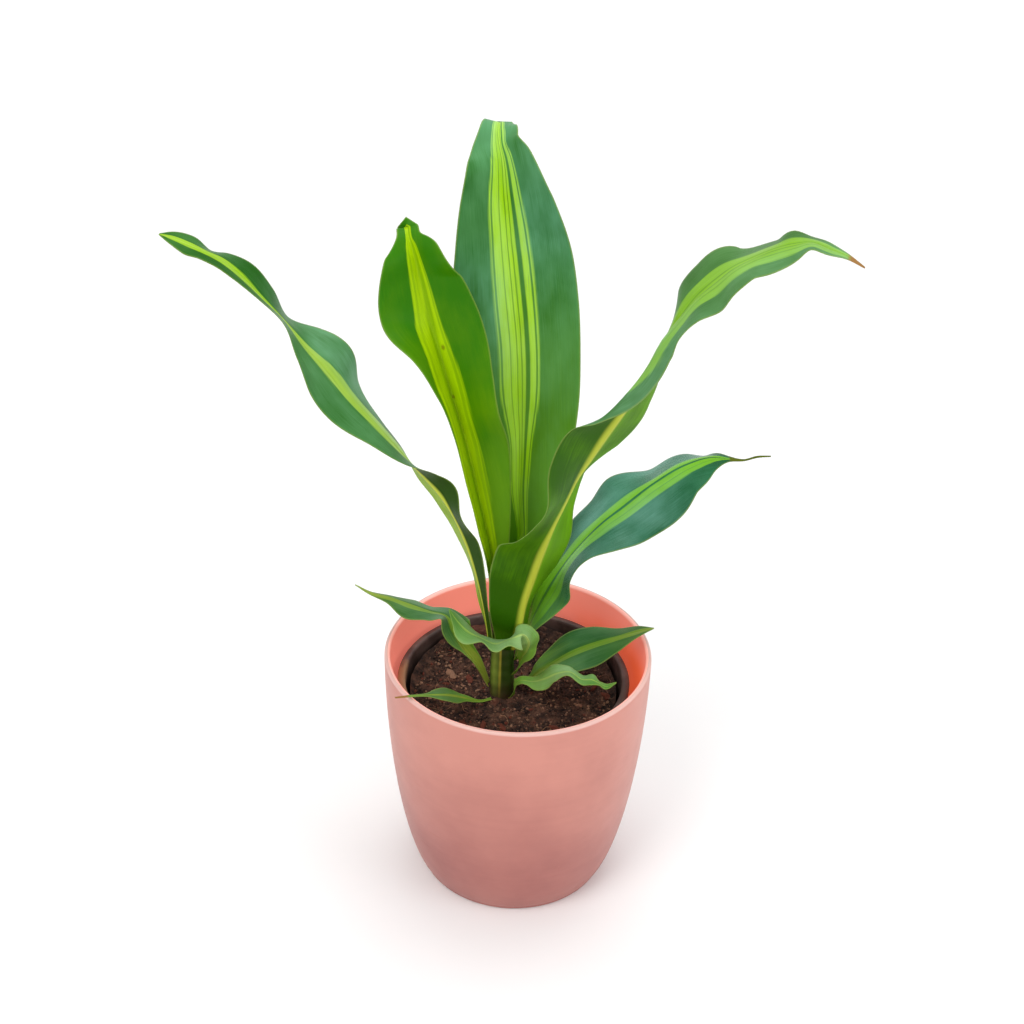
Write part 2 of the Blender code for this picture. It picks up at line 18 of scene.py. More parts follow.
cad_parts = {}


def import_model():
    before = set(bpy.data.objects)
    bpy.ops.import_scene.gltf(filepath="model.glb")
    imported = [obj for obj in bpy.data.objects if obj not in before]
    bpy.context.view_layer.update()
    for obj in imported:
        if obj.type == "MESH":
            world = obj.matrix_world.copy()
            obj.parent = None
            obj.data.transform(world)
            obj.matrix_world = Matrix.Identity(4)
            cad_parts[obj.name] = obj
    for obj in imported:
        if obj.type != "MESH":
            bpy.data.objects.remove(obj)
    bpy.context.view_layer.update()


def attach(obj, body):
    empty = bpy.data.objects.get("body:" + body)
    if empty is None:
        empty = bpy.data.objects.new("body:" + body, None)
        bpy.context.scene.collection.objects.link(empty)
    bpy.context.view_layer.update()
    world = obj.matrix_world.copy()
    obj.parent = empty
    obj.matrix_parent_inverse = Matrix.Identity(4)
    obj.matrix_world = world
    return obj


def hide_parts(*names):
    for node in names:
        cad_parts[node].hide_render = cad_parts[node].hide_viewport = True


LOG = logging.getLogger("potted_dracaena")
MM = 0.001
# How high each finer layer of rolling noise is beside the one before.
FINER_SHARE = 0.55
# Rows on each side over which a leaf's tables are smoothed.
SMOOTH_ROWS = 12
# Half width, in millimetres, from which a leaf's rib has its full width.
FULL_RIB_HALF = 14.0
BODY = "root"
# Ribs give a leaf's turn as seen from this point, in millimetres.
FACED_POINT = np.array((-5.0, -806.0, 730.0))

Colour = tuple[float, float, float]
Point = tuple[float, float]
Table = tuple[tuple[float, ...], ...]


class Face(Enum):
    """Which way a grid of quads winds."""

    FRONT = 1
    BACK = -1


def tint(red: float, green: float, blue: float) -> Colour:
    """Turn a colour as seen on a screen, 0 to 255, into linear light."""
    parts = [c / 255.0 for c in (red, green, blue)]
    return tuple(c / 12.92 if c <= 0.04045 else ((c + 0.055) / 1.055) ** 2.4 for c in parts)


# Shader expressions


class Value:
    """A number that a shader works out at each point, with ordinary arithmetic."""

    def __init__(self, paint: Paint, socket: bpy.types.NodeSocket) -> None:
        """Wrap an output socket of a paint's node tree."""
        self.paint = paint
        self.socket = socket

    def _math(self, operation: str, *terms: Value | float) -> Value:
        """Add one Math node."""
        inputs = dict(enumerate(terms))
        return self.paint.value("ShaderNodeMath", {"operation": operation}, inputs)

    def __add__(self, other: Value | float) -> Value:
        """self + other."""
        return self._math("ADD", self, other)

    def __radd__(self, other: float) -> Value:
        """other + self."""
        return self._math("ADD", other, self)

    def __sub__(self, other: Value | float) -> Value:
        """self - other."""
        return self._math("SUBTRACT", self, other)

    def __rsub__(self, other: float) -> Value:
        """other - self."""
        return self._math("SUBTRACT", other, self)

    def __mul__(self, other: Value | float) -> Value:
        """self * other."""
        return self._math("MULTIPLY", self, other)

    def __rmul__(self, other: float) -> Value:
        """other * self."""
        return self._math("MULTIPLY", other, self)

    def __truediv__(self, other: Value | float) -> Value:
        """self / other."""
        return self._math("DIVIDE", self, other)

    def __rtruediv__(self, other: float) -> Value:
        """other / self."""
        return self._math("DIVIDE", other, self)

    def __pow__(self, other: float) -> Value:
        """self ** other."""
        return self._math("POWER", self, other)

    def __abs__(self) -> Value:
        """The size of self."""
        return self._math("ABSOLUTE", self)

    def at_most(self, other: Value | float) -> Value:
        """The smaller of the two."""
        return self._math("MINIMUM", self, other)

    def at_least(self, other: Value | float) -> Value:
        """The larger of the two."""
        return self._math("MAXIMUM", self, other)

    def rise(self, low: float, high: float) -> Value:
        """A soft step from 0 at low to 1 at high.

        Args:
            low: Where the step starts.
            high: Where it ends.

        Returns:
            The step's value, 0 to 1.
        """
        settings = {"interpolation_type": "SMOOTHSTEP"}
        inputs = {"Value": self, "From Min": low, "From Max": high}
        return self.paint.value("ShaderNodeMapRange", settings, inputs)


class Paint:
    """One material and the node tree that it is mixed in."""

    def __init__(self, name: str) -> None:
        """Start a material with one Principled shader."""
        self.material = bpy.data.materials.new(name)
        self.material.use_nodes = True
        self.tree = self.material.node_tree
        self.shader = self.tree.nodes["Principled BSDF"]

    @staticmethod
    def _find(sockets: bpy.types.bpy_prop_collection, key: str | int) -> bpy.types.NodeSocket:
        """Find a socket by number, identifier or name."""
        if isinstance(key, int):
            return sockets[key]
        return next((s for s in sockets if s.identifier == key), None) or sockets[key]

    def node(self, kind: str, settings: dict | None = None, inputs: dict | None = None) -> bpy.types.Node:
        """Add any node.

        Args:
            kind: The node's type.
            settings: Its own settings, set first.
            inputs: Values or links for its sockets.

        Returns:
            The new node.
        """
        made = self.tree.nodes.new(kind)
        for name, value in (settings or {}).items():
            setattr(made, name, value)
        for key, value in (inputs or {}).items():
            self.feed(self._find(made.inputs, key), value)
        return made

    def feed(self, socket: bpy.types.NodeSocket, value: object) -> None:
        """Link a socket, or set its value."""
        if isinstance(value, Value):
            value = value.socket
        if isinstance(value, bpy.types.NodeSocket):
            self.tree.links.new(value, socket)
        elif isinstance(value, tuple) and socket.type == "RGBA":
            socket.default_value = (*value, 1.0)
        else:
            socket.default_value = value

    def value(self, kind: str, settings: dict | None = None, inputs: dict | None = None,
              output: str | int = 0) -> Value:
        """Add a node and wrap one output as a number."""
        return Value(self, self._find(self.node(kind, settings, inputs).outputs, output))

    def attribute(self, name: str) -> Value:
        """Read a number kept on the mesh."""
        return self.value("ShaderNodeAttribute", {"attribute_name": name}, output="Fac")

    def place(self) -> bpy.types.NodeSocket:
        """The point's place in the model's frame, in metres."""
        return self.node("ShaderNodeTexCoord").outputs["Object"]

    def split(self, vector: bpy.types.NodeSocket) -> tuple[Value, Value, Value]:
        """The three parts of a vector."""
        made = self.node("ShaderNodeSeparateXYZ", inputs={0: vector})
        return tuple(Value(self, s) for s in made.outputs)

    def join(self, x: Value | float, y: Value | float, z: Value | float) -> bpy.types.NodeSocket:
        """A vector from three numbers."""
        return self.node("ShaderNodeCombineXYZ", inputs={0: x, 1: y, 2: z}).outputs[0]

    def mix(self, share: Value | float, first: object, second: object) -> bpy.types.NodeSocket:
        """Mix two colours.

        Args:
            share: How much of the second colour shows, 0 to 1.
            first: The colour at 0.
            second: The colour at 1.

        Returns:
            The mixed colour's socket.
        """
        inputs = {"Factor_Float": share, "A_Color": first, "B_Color": second}
        made = self.node("ShaderNodeMix", {"data_type": "RGBA"}, inputs)
        return self._find(made.outputs, "Result_Color")

    def noise(self, vector: object, scale: float, detail: float = 2.0, rough: float = 0.5) -> Value:
        """Soft noise, mostly between 0.25 and 0.75."""
        inputs = {"Vector": vector, "Scale": scale, "Detail": detail, "Roughness": rough}
        return self.value("ShaderNodeTexNoise", inputs=inputs, output="Fac")

    def cells(self, vector: object, scale: float) -> Value:
        """Distance to the nearest of many scattered points."""
        inputs = {"Vector": vector, "Scale": scale}
        return self.value("ShaderNodeTexVoronoi", inputs=inputs, output="Distance")

    def bump(self, height: Value, strength: float, distance: float) -> bpy.types.NodeSocket:
        """A bumped normal from a height."""
        inputs = {"Height": height, "Strength": strength, "Distance": distance}
        return self.node("ShaderNodeBump", inputs=inputs).outputs[0]

    def finish(self, **inputs: object) -> bpy.types.Material:
        """Feed the Principled shader's sockets, named with _ for a space."""
        for name, value in inputs.items():
            self.feed(self.shader.inputs[name.replace("_", " ")], value)
        return self.material


# Mesh helpers


def make_piece(name: str, points: np.ndarray, faces: list, notes: dict[str, np.ndarray] | None = None,
               smooth: bool = True) -> bpy.types.Object:
    """Make a mesh piece from points in millimetres.

    Args:
        name: The piece's name.
        points: One row per point.
        faces: Corner numbers of each face.
        notes: Numbers to keep on the points for the material.
        smooth: Whether the faces are shaded smooth.

    Returns:
        The new object, linked to the scene.
    """
    mesh = bpy.data.meshes.new(name)
    mesh.from_pydata((np.asarray(points) * MM).tolist(), [], faces)
    for key, values in (notes or {}).items():
        kept = mesh.attributes.new(key, "FLOAT", "POINT")
        kept.data.foreach_set("value", np.asarray(values, dtype=np.float32).ravel())
    mesh.polygons.foreach_set("use_smooth", [smooth] * len(mesh.polygons))
    mesh.update()
    made = bpy.data.objects.new(name, mesh)
    bpy.context.scene.collection.objects.link(made)
    return made


def grid_faces(rows: int, columns: int, first: int = 0, face: Face = Face.FRONT,
               closed: bool = False) -> list[tuple[int, ...]]:
    """Quads over a grid of points kept row by row.

    Args:
        rows: Points along the grid.
        columns: Points across it.
        first: The number of its first point.
        face: Which way the quads wind.
        closed: Whether the last column joins the first.

    Returns:
        The quads' corner numbers.
    """
    faces = []
    for i in range(rows - 1):
        for j in range(columns if closed else columns - 1):
            a, b = first + i * columns + j, first + i * columns + (j + 1) % columns
            quad = (a, b, b + columns, a + columns)
            faces.append(quad if face is Face.FRONT else quad[::-1])
    return faces


def turned_piece(name: str, profile: list[Point], segments: int, centre: Point = (0.0, 0.0),
                 notes: dict[str, list[float]] | None = None) -> bpy.types.Object:
    """Turn a profile of (radius, height) that starts and ends on the axis.

    Args:
        name: The piece's name.
        profile: Its points, down the inside first, then up, over and down the outside, or top down.
        segments: Facets round the axis.
        centre: Where the axis stands.
        notes: One number per profile point to keep on the mesh.

    Returns:
        The turned piece.
    """
    ring = profile[1:-1]
    angles = 2.0 * np.pi * np.arange(segments) / segments
    around = np.stack([np.cos(angles), np.sin(angles)], -1)
    points = [np.column_stack([r * around + centre, np.full(segments, h)]) for r, h in ring]
    points.append(np.array([(*centre, profile[0][1]), (*centre, profile[-1][1])]))
    top, low = len(ring) * segments, len(ring) * segments + 1
    faces = grid_faces(len(ring), segments, face=Face.BACK, closed=True)
    last = (len(ring) - 1) * segments
    faces += [(top, i, (i + 1) % segments) for i in range(segments)]
    faces += [(low, last + (i + 1) % segments, last + i) for i in range(segments)]
    kept = {}
    for key, values in (notes or {}).items():
        kept[key] = np.concatenate([np.repeat(values[1:-1], segments), [values[0], values[-1]]])
    return make_piece(name, np.concatenate(points), faces, kept)


def arc(centre: Point, radius: float, start: float, end: float, steps: int) -> list[Point]:
    """Points along an arc, angles in degrees."""
    angles = np.radians(np.linspace(start, end, steps + 1))
    return [(centre[0] + radius * math.cos(a), centre[1] + radius * math.sin(a)) for a in angles]


def dress(piece: bpy.types.Object, material: bpy.types.Material, slot: str, *nodes: str) -> bpy.types.Object:
    """Give a piece its material and its body, hide the nodes it stands for and log its slot."""
    piece.data.materials.clear()
    piece.data.materials.append(material)
    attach(piece, BODY)
    if nodes:
        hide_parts(*nodes)
    LOG.info("%s: %d faces, slot %s", piece.name, len(piece.data.polygons), slot)
    return piece


def rolling(x: np.ndarray, y: np.ndarray, size: float, seed: int, octaves: int = 4) -> np.ndarray:
    """Seeded rolling noise over a plane.

    Args:
        x: First coordinates.
        y: Second coordinates.
        size: Width of the largest lumps.
        seed: Which pattern.
        octaves: How many finer layers are added.

    Returns:
        Heights between about -1 and 1.
    """
    lattice = np.random.default_rng(seed).uniform(-1.0, 1.0, (64, 64))
    total = np.zeros_like(np.asarray(x, dtype=float))
    share = 1.0
    for octave in range(octaves):
        u, v = x / size * 2**octave + 17.3 * octave, y / size * 2**octave + 5.9 * octave
        i, j = np.floor(u).astype(int), np.floor(v).astype(int)
        s, t = u - i, v - j
        s, t = s * s * (3 - 2 * s), t * t * (3 - 2 * t)
        corner = [lattice[(i + a) % 64, (j + b) % 64] for a in (0, 1) for b in (0, 1)]
        near = corner[0] * (1 - t) + corner[1] * t
        far = corner[2] * (1 - t) + corner[3] * t
        total += share * (near * (1 - s) + far * s)
        share *= FINER_SHARE
    return total


# Finishes


@dataclass(frozen=True)
class LeafFinish:
    """How a living leaf is coloured: dark sides, a lime band, a paler underside and a thin rim, with painted
    light, shade and sheen over them.
    """

    side: Colour
    side_light: Colour
    lime: Colour
    lime_light: Colour
    under: Colour
    under_light: Colour
    under_rib: Colour
    # Colour of the painted sheen, a painted reflection of the bright surroundings on the glossy face.
    painted_sheen: Colour = tint(136, 190, 160)
    rim: Colour = tint(150, 172, 84)
    dry: Colour = tint(150, 110, 60)
    rim_share: float = 0.4
    gloss: float = 0.36
    rib_width: float = 2.2
    feather: float = 0.25
    # The yellower green near the leaf's base, and how far up it reaches, in millimetres.
    base: Colour = tint(118, 170, 20)
    base_reach: float = 40.0
    # Painted light on one half of the underside and painted shade on the other: the right half is lighter
    # above zero, the left one below.
    under_lit_half: float = 0.0
    # Dark lines in the lime band: place across it, half width, strength.
    lines: Table = ()

    def paint(self, name: str, seed: float, flecks: Table = ()) -> bpy.types.Material:
        """Mix the leaf's material.

        Args:
            name: The material's name.
            seed: Shifts the streaks from leaf to leaf.
            flecks: Small brown marks as (across, along, radius) in millimetres.

        Returns:
            The material.
        """
        paint = Paint(name)
        across, along = paint.attribute("across_mm"), paint.attribute("along_mm")
        under, band = paint.attribute("under"), paint.attribute("band")
        streak = paint.noise(paint.join(across * 1.1, along * 0.02, seed), 1.0, 3.0)
        fine = paint.noise(paint.join(across * 5.0, along * 0.05, seed + 7.0), 1.0, 2.0)
        cloud = paint.noise(paint.join(across * 0.07, along * 0.035, seed + 3.0), 1.0, 3.0)
        grain = paint.noise(paint.join(across, along, seed), 2.2, 3.0)

        edge = abs(band) + (streak - 0.5) * self.feather
        lime = 1.0 - edge.rise(0.9, 1.08)
        for place, width, strength in self.lines:
            gap = abs(band - place + (cloud - 0.5) * 0.06) / width
            lime = lime * (1.0 - strength * (1.0 - gap.rise(0.6, 1.4)))
        lime = lime * (1.0 - 0.45 * fine.rise(0.56, 0.7))

        # Tone along the leaf, with soft noise, sets how light the green is: partly painted light and painted
        # shade.
        tone_and_painted_light = paint.attribute("tone_and_painted_light")
        light = (tone_and_painted_light + (cloud - 0.5) * 1.1 + (fine - 0.5) * 0.5).at_least(0.0).at_most(1.0)
        side = paint.mix(light, self.side, self.side_light)
        low = 1.0 - ((along + (streak - 0.5) * 40.0) / self.base_reach).rise(0.2, 1.1)
        side = paint.mix(low * 0.6, side, self.base)
        streaked = (light + (streak - 0.5) * 0.8).at_least(0.0).at_most(1.0)
        green = paint.mix(streaked, self.lime, self.lime_light)
        upper = paint.mix(lime, side, green)
        # Painted sheen: a painted reflection mixed over the upper face in patches.
        sheen = paint.attribute("painted_sheen") * (0.5 + 0.7 * (fine - 0.5) + 1.6 * (cloud - 0.5))
        upper = paint.mix(sheen.at_least(0.0).at_most(0.85), upper, self.painted_sheen)

        rib = 1.0 - (abs(across + 0.25) / (paint.attribute("rib") * self.rib_width)).rise(0.3, 1.4)
        # Painted light and shade across the underside: one half lit, the other shaded.
        lean = (across * 0.3).at_least(-1.0).at_most(1.0) * self.under_lit_half
        lit = (light + lean + (streak - 0.5) * 0.6).at_least(0.0).at_most(1.0)
        below = paint.mix(lit, self.under, self.under_light)
        below = paint.mix(rib * 0.95, below, self.under_rib)
        colour = paint.mix(under, upper, below)

        rim = 1.0 - (paint.attribute("edge_mm") + (grain - 0.5) * 0.5).rise(0.25, 0.9)
        colour = paint.mix(rim * self.rim_share, colour, self.rim)
        for x, y, radius in flecks:
            gap = ((across - x) ** 2.0 + ((along - y) * 0.7) ** 2.0) ** 0.5 + (grain - 0.5) * radius
            colour = paint.mix(0.6 * (1.0 - gap.rise(radius * 0.4, radius * 1.3)), colour, tint(95, 76, 10))
        dry = (paint.attribute("dry") + (grain - 0.5) * 0.5).rise(0.35, 0.75)
        colour = paint.mix(dry, colour, self.dry)

        relief = streak * 0.6 + fine * 0.4 + grain * 0.25
        rough = self.gloss + (grain - 0.5) * 0.12 + dry * 0.3 + under * 0.12
        return paint.finish(Base_Color=colour, Roughness=rough, Normal=paint.bump(relief, 0.35, 0.0004),
                            Specular_IOR_Level=0.1)


@dataclass(frozen=True)
class GlazeFinish:
    """Satin pink glaze: mottled outside with painted shade towards the bottom, brighter coral inside with a
    painted glow and painted shade, paler on the lip.
    """

    outside: Colour = tint(204, 134, 120)
    # Darker pink for the mottle and for painted shade towards the bottom and lower left.
    shade_and_mottle: Colour = tint(158, 92, 86)
    # Inside: a brighter coral, painted as if lit by bounced light through the wall, and a deeper orange for
    # painted shade.
    inside: Colour = tint(238, 146, 128)
    inside_shade: Colour = tint(232, 112, 76)
    # Painted glow for the inside, as of light through the thin wall, deeper orange in the shaded right.
    glow: Colour = tint(168, 88, 76)
    glow_in_shade: Colour = tint(172, 66, 34)
    lip: Colour = tint(226, 186, 178)
    height: float = 134.5
    mottle_scale: float = 22.0
    # Turns metres across the pot into about -1 to 1.
    across: float = 14.0
    # Where the pale lip starts and is full, down from the top in millimetres.
    lip_start: float = 1.8
    lip_full: float = 0.7

    def paint(self) -> bpy.types.Material:
        """Mix the glaze."""
        paint = Paint("pot_glaze_detailed")
        place = paint.place()
        x, y, z = paint.split(place)
        mottle = paint.noise(place, self.mottle_scale, 4.0, 0.55)
        fine = paint.noise(place, 260.0, 3.0)
        turning = paint.noise(paint.join(x * 9.0, y * 9.0, z * 420.0), 1.0, 2.0)
        # Painted shade: darker towards the bottom, more at the lower left, with the mottle and turning lines
        # over it.
        low = 1.0 - (z / MM / self.height).rise(0.15, 0.95)
        left = 1.0 - (x * self.across).rise(-1.0, 1.0)
        shade_and_mottle = (0.05 + 0.6 * low + 0.25 * left * low + (mottle - 0.5) * 1.0 + (turning - 0.5) * 0.12)
        colour = paint.mix(shade_and_mottle.at_least(0.0).at_most(1.0), self.outside, self.shade_and_mottle)
        # Painted shade inside: deeper orange on the right of the inner wall, below the top.
        deep = (x * self.across + (mottle - 0.5)).rise(0.1, 0.9)
        deep = deep * (1.0 - (z / MM / self.height).rise(0.82, 0.98))
        inner = paint.mix(deep * 0.85, self.inside, self.inside_shade)
        colour = paint.mix(paint.attribute("inside"), colour, inner)
        lip_height = z / MM + (mottle - 0.5) * 0.8
        lip = lip_height.rise(self.height - self.lip_start, self.height - self.lip_full)
        colour = paint.mix(lip * 0.8, colour, self.lip)
        specks = 1.0 - paint.cells(place, 150.0).rise(0.02, 0.09)
        colour = paint.mix(specks * (mottle.rise(0.52, 0.6)) * 0.35, colour, tint(190, 118, 108))
        scuff = paint.noise(paint.join(x * 60.0, y * 60.0, z * 900.0), 1.0, 2.0).rise(0.66, 0.74)
        rough = 0.4 + (mottle - 0.5) * 0.2 + scuff * 0.12
        relief = mottle * 0.5 + turning * 0.25 + fine * 0.15
        # Painted glow: the inner wall emits light, deeper orange where the painted shade is.
        glow = paint.mix(deep, self.glow, self.glow_in_shade)
        glow = paint.mix(paint.attribute("inside"), (0.0, 0.0, 0.0), glow)
        return paint.finish(Base_Color=colour, Roughness=rough, Normal=paint.bump(relief, 0.18, 0.0006),
                            Emission_Color=glow, Emission_Strength=1.0)


@dataclass(frozen=True)
class PlasticFinish:
    """Dark moulded plastic with dust, a paler lip that is partly dust and partly painted sheen, and a tan
    water stain.
    """

    plastic: Colour = tint(46, 33, 28)
    dust_and_sheen: Colour = tint(104, 84, 78)
    stain: Colour = tint(176, 132, 96)
    stain_angle: float = 190.0

    def paint(self) -> bpy.types.Material:
        """Mix the plastic."""
        paint = Paint("nursery_plastic_detailed")
        place = paint.place()
        x, y, z = paint.split(place)
        dusty = paint.noise(place, 90.0, 4.0, 0.6)
        # The lip is paler: partly dust, partly a painted sheen.
        lip = (z / MM).rise(110.0, 118.0)
        colour = paint.mix((dusty.rise(0.42, 0.66) * 0.5 + lip * 0.3), self.plastic, self.dust_and_sheen)
        angle = math.radians(self.stain_angle)
        facing = x * math.cos(angle) + y * math.sin(angle)
        sideways = abs(y * math.cos(angle) - x * math.sin(angle) + (dusty - 0.5) * 0.02)
        stain = facing.rise(0.045, 0.052) * (1.0 - sideways.rise(0.012, 0.022)) * lip
        colour = paint.mix(stain * 0.85, colour, self.stain)
        return paint.finish(Base_Color=colour, Roughness=0.42 + dusty * 0.3,
                            Normal=paint.bump(dusty, 0.2, 0.0005))


@dataclass(frozen=True)
class SoilFinish:
    """Loose potting soil: dark crumbs, redder chips and pale fibres."""

    name: str
    dark: Colour = tint(24, 14, 11)
    light: Colour = tint(108, 76, 60)
    red: Colour = tint(98, 48, 34)
    pale: Colour = tint(150, 116, 92)

    def paint(self) -> bpy.types.Material:
        """Mix the soil."""
        paint = Paint(self.name)
        place = paint.place()
        clump = paint.noise(place, 150.0, 5.0, 0.65)
        crumb = paint.cells(place, 620.0)
        shade = paint.attribute("shade")
        light = (clump.rise(0.36, 0.72) * 0.7 + shade * 0.6 - 0.12 + (crumb - 0.4) * 0.25)
        colour = paint.mix(light.at_least(0.0).at_most(1.0), self.dark, self.light)
        red = paint.noise(place, 75.0, 3.0).rise(0.58, 0.7) * 0.4 + paint.attribute("red")
        colour = paint.mix(red.at_most(0.9), colour, self.red)
        colour = paint.mix((shade + (clump - 0.5) * 0.4).rise(0.72, 0.95) * 0.75, colour, self.pale)
        relief = clump * 0.7 + crumb * 0.4
        return paint.finish(Base_Color=colour, Roughness=0.82 + (clump - 0.5) * 0.2,
                            Normal=paint.bump(relief, 0.8, 0.0012), Specular_IOR_Level=0.25)


@dataclass(frozen=True)
class StemFinish:
    """Green stem: painted light on its front-left side and painted shade round the rest, with yellow seams
    where leaf bases wrap it.
    """

    light: Colour = tint(128, 158, 62)
    dark: Colour = tint(40, 66, 10)
    seam: Colour = tint(176, 172, 60)

    def paint(self) -> bpy.types.Material:
        """Mix the stem."""
        paint = Paint("stem_detailed")
        place = paint.place()
        z = paint.split(place)[2]
        turn = paint.attribute("turn")
        streak = paint.noise(paint.join(turn * 0.5, z * 12.0, 1.0), 1.0, 4.0)
        # Painted light: lighter green on the front-left, falling off into painted shade round the back and
        # right.
        light = (1.0 - abs(turn - 12.6) / 2.4 + (streak - 0.5) * 0.8).at_least(0.0).at_most(1.0)
        colour = paint.mix(light, self.dark, self.light)
        seam = 1.0 - (abs(turn - 14.4 + (streak - 0.5)) / 0.42).rise(0.2, 1.2)
        colour = paint.mix(seam * 0.7, colour, self.seam)
        soiled = 1.0 - (z / MM + (streak - 0.5) * 5.0).rise(107.0, 123.0)
        colour = paint.mix(soiled * 0.85, colour, tint(58, 42, 26))
        return paint.finish(Base_Color=colour, Roughness=0.45 + (streak - 0.5) * 0.2,
                            Normal=paint.bump(streak, 0.4, 0.0006))


@dataclass(frozen=True)
class FibreFinish:
    """Dry pale root fibres."""

    colour: Colour = tint(150, 112, 80)

    def paint(self) -> bpy.types.Material:
        """Mix the fibres."""
        paint = Paint("root_fibre")
        vary = paint.noise(paint.place(), 200.0, 2.0)
        colour = paint.mix(vary.rise(0.35, 0.65), self.colour, tint(92, 62, 44))
        return paint.finish(Base_Color=colour, Roughness=0.7, Normal=paint.bump(vary, 0.3, 0.0002))


# Pots


@dataclass
class Pots:
    """The glazed outer pot and the plastic nursery pot inside it."""

    rim_radius: float = 69.0
    foot_radius: float = 47.4
    height: float = 134.5
    wall: float = 3.0
    floor: float = 4.0
    foot_round: float = 2.0
    inner_corner: float = 4.0
    height_power: float = 1.865
    width_power: float = 0.6275
    rings: int = 60
    segments: int = 192
    nursery_centre: Point = (-2.0, 0.0)
    nursery_rim: float = 60.5
    nursery_foot: float = 42.0
    nursery_top: float = 118.0
    nursery_wall: float = 0.9
    lip_width: float = 3.5
    lip_depth: float = 7.0
    # The rolled lip's section, outward from the neck and up from the top.
    lip_section: Table = (
        (-0.72, -2.0), (-0.54, -0.6), (-0.1, -0.15), (0.4, 0.0), (2.7, -0.4), (3.25, -0.8), (3.5, -1.4),
        (3.35, -4.0), (3.2, -7.6), (2.7, -7.8), (2.2, -7.6), (2.4, -1.9), (0.5, -1.6), (0.1, -7.0),
    )
    nursery_corner: float = 1.0
    nursery_bevel: float = 2.0
    drain_holes: int = 6
    drain_radius: float = 4.0
    drain_ring: float = 29.0
    drain_reach: float = 3.0
    gap: float = 0.3

    def side_radius(self, height: float) -> float:
        """Outer radius of the outer pot at a height."""
        rise = 1.0 - (1.0 - height / self.height) ** self.height_power
        return self.foot_radius + (self.rim_radius - self.foot_radius) * rise**self.width_power

    def build_outer(self) -> bpy.types.Object:
        """Turn the outer pot's full profile."""
        lip = self.wall / 2
        side = self.height - lip - self.foot_round
        heights = [self.foot_round + side * (i / self.rings) ** 1.3 for i in range(self.rings + 1)]
        outside = [(self.side_radius(h), h) for h in heights]
        foot = arc((outside[0][0] - self.foot_round, self.foot_round), self.foot_round, 0, -90, 6)
        inside = [(r - self.wall, h) for r, h in outside if h > self.floor + self.inner_corner]
        bend = self.inner_corner
        corner = arc((inside[0][0] - bend, self.floor + bend), bend, -90, -20, 6)
        rim = arc((self.rim_radius - lip, self.height - lip), lip, 180, 0, 12)
        inner = [(0.0, self.floor), *corner, *inside[:-1]]
        outer = [*outside[-2:0:-1], *foot, (0.0, 0.0)]
        notes = [1.0] * (len(inner) + 6) + [0.0] * (len(rim) - 6 + len(outer))
        return turned_piece("glazed_pot", [*inner, *rim, *outer], self.segments, notes={"inside": notes})

    def build_nursery(self) -> bpy.types.Object:
        """Turn the nursery pot and cut its drain holes."""
        wall, base = self.nursery_wall, self.floor + self.gap
        neck, foot, top = self.nursery_rim - self.lip_width, self.nursery_foot, self.nursery_top
        corner, bevel, worn = self.nursery_corner, self.nursery_bevel, self.nursery_bevel * 0.3
        profile = [
            (0.0, base + wall), (foot - wall - corner, base + wall), (foot - wall, base + wall + corner),
            (neck - wall, top - self.lip_depth),
            *[(neck + out, top + rise) for out, rise in self.lip_section],
            (foot, base + bevel), (foot - worn, base + worn), (foot - bevel, base), (0.0, base),
        ]
        pot = turned_piece("nursery_pot_fine", profile, self.segments, self.nursery_centre)
        cutters = []
        for i in range(self.drain_holes):
            angle = 2.0 * math.pi * (i + 0.5) / self.drain_holes
            place = (self.nursery_centre[0] + self.drain_ring * math.cos(angle),
                     self.nursery_centre[1] + self.drain_ring * math.sin(angle))
            high, deep = base + self.drain_reach, base - self.drain_reach
            hole = [(0.0, high), (self.drain_radius, high), (self.drain_radius, deep), (0.0, deep)]
            cutter = turned_piece(f"drain_{i}", hole, 32, place)
            cutting = pot.modifiers.new("drain", "BOOLEAN")
            cutting.operation = "DIFFERENCE"
            cutting.object = cutter
            cutters.append(cutter)
        bpy.context.view_layer.update()
        cut = bpy.data.meshes.new_from_object(pot.evaluated_get(bpy.context.evaluated_depsgraph_get()))
        pot.modifiers.clear()
        pot.data = cut
        for cutter in cutters:
            bpy.data.objects.remove(cutter)
        return pot

    def build(self) -> None:
        """Build and dress both pots."""
        dress(self.build_outer(), GlazeFinish(height=self.height).paint(), "pot_glaze", "outer_pot")
        dress(self.build_nursery(), PlasticFinish().paint(), "nursery_plastic", "nursery_pot")


# Soil and stem


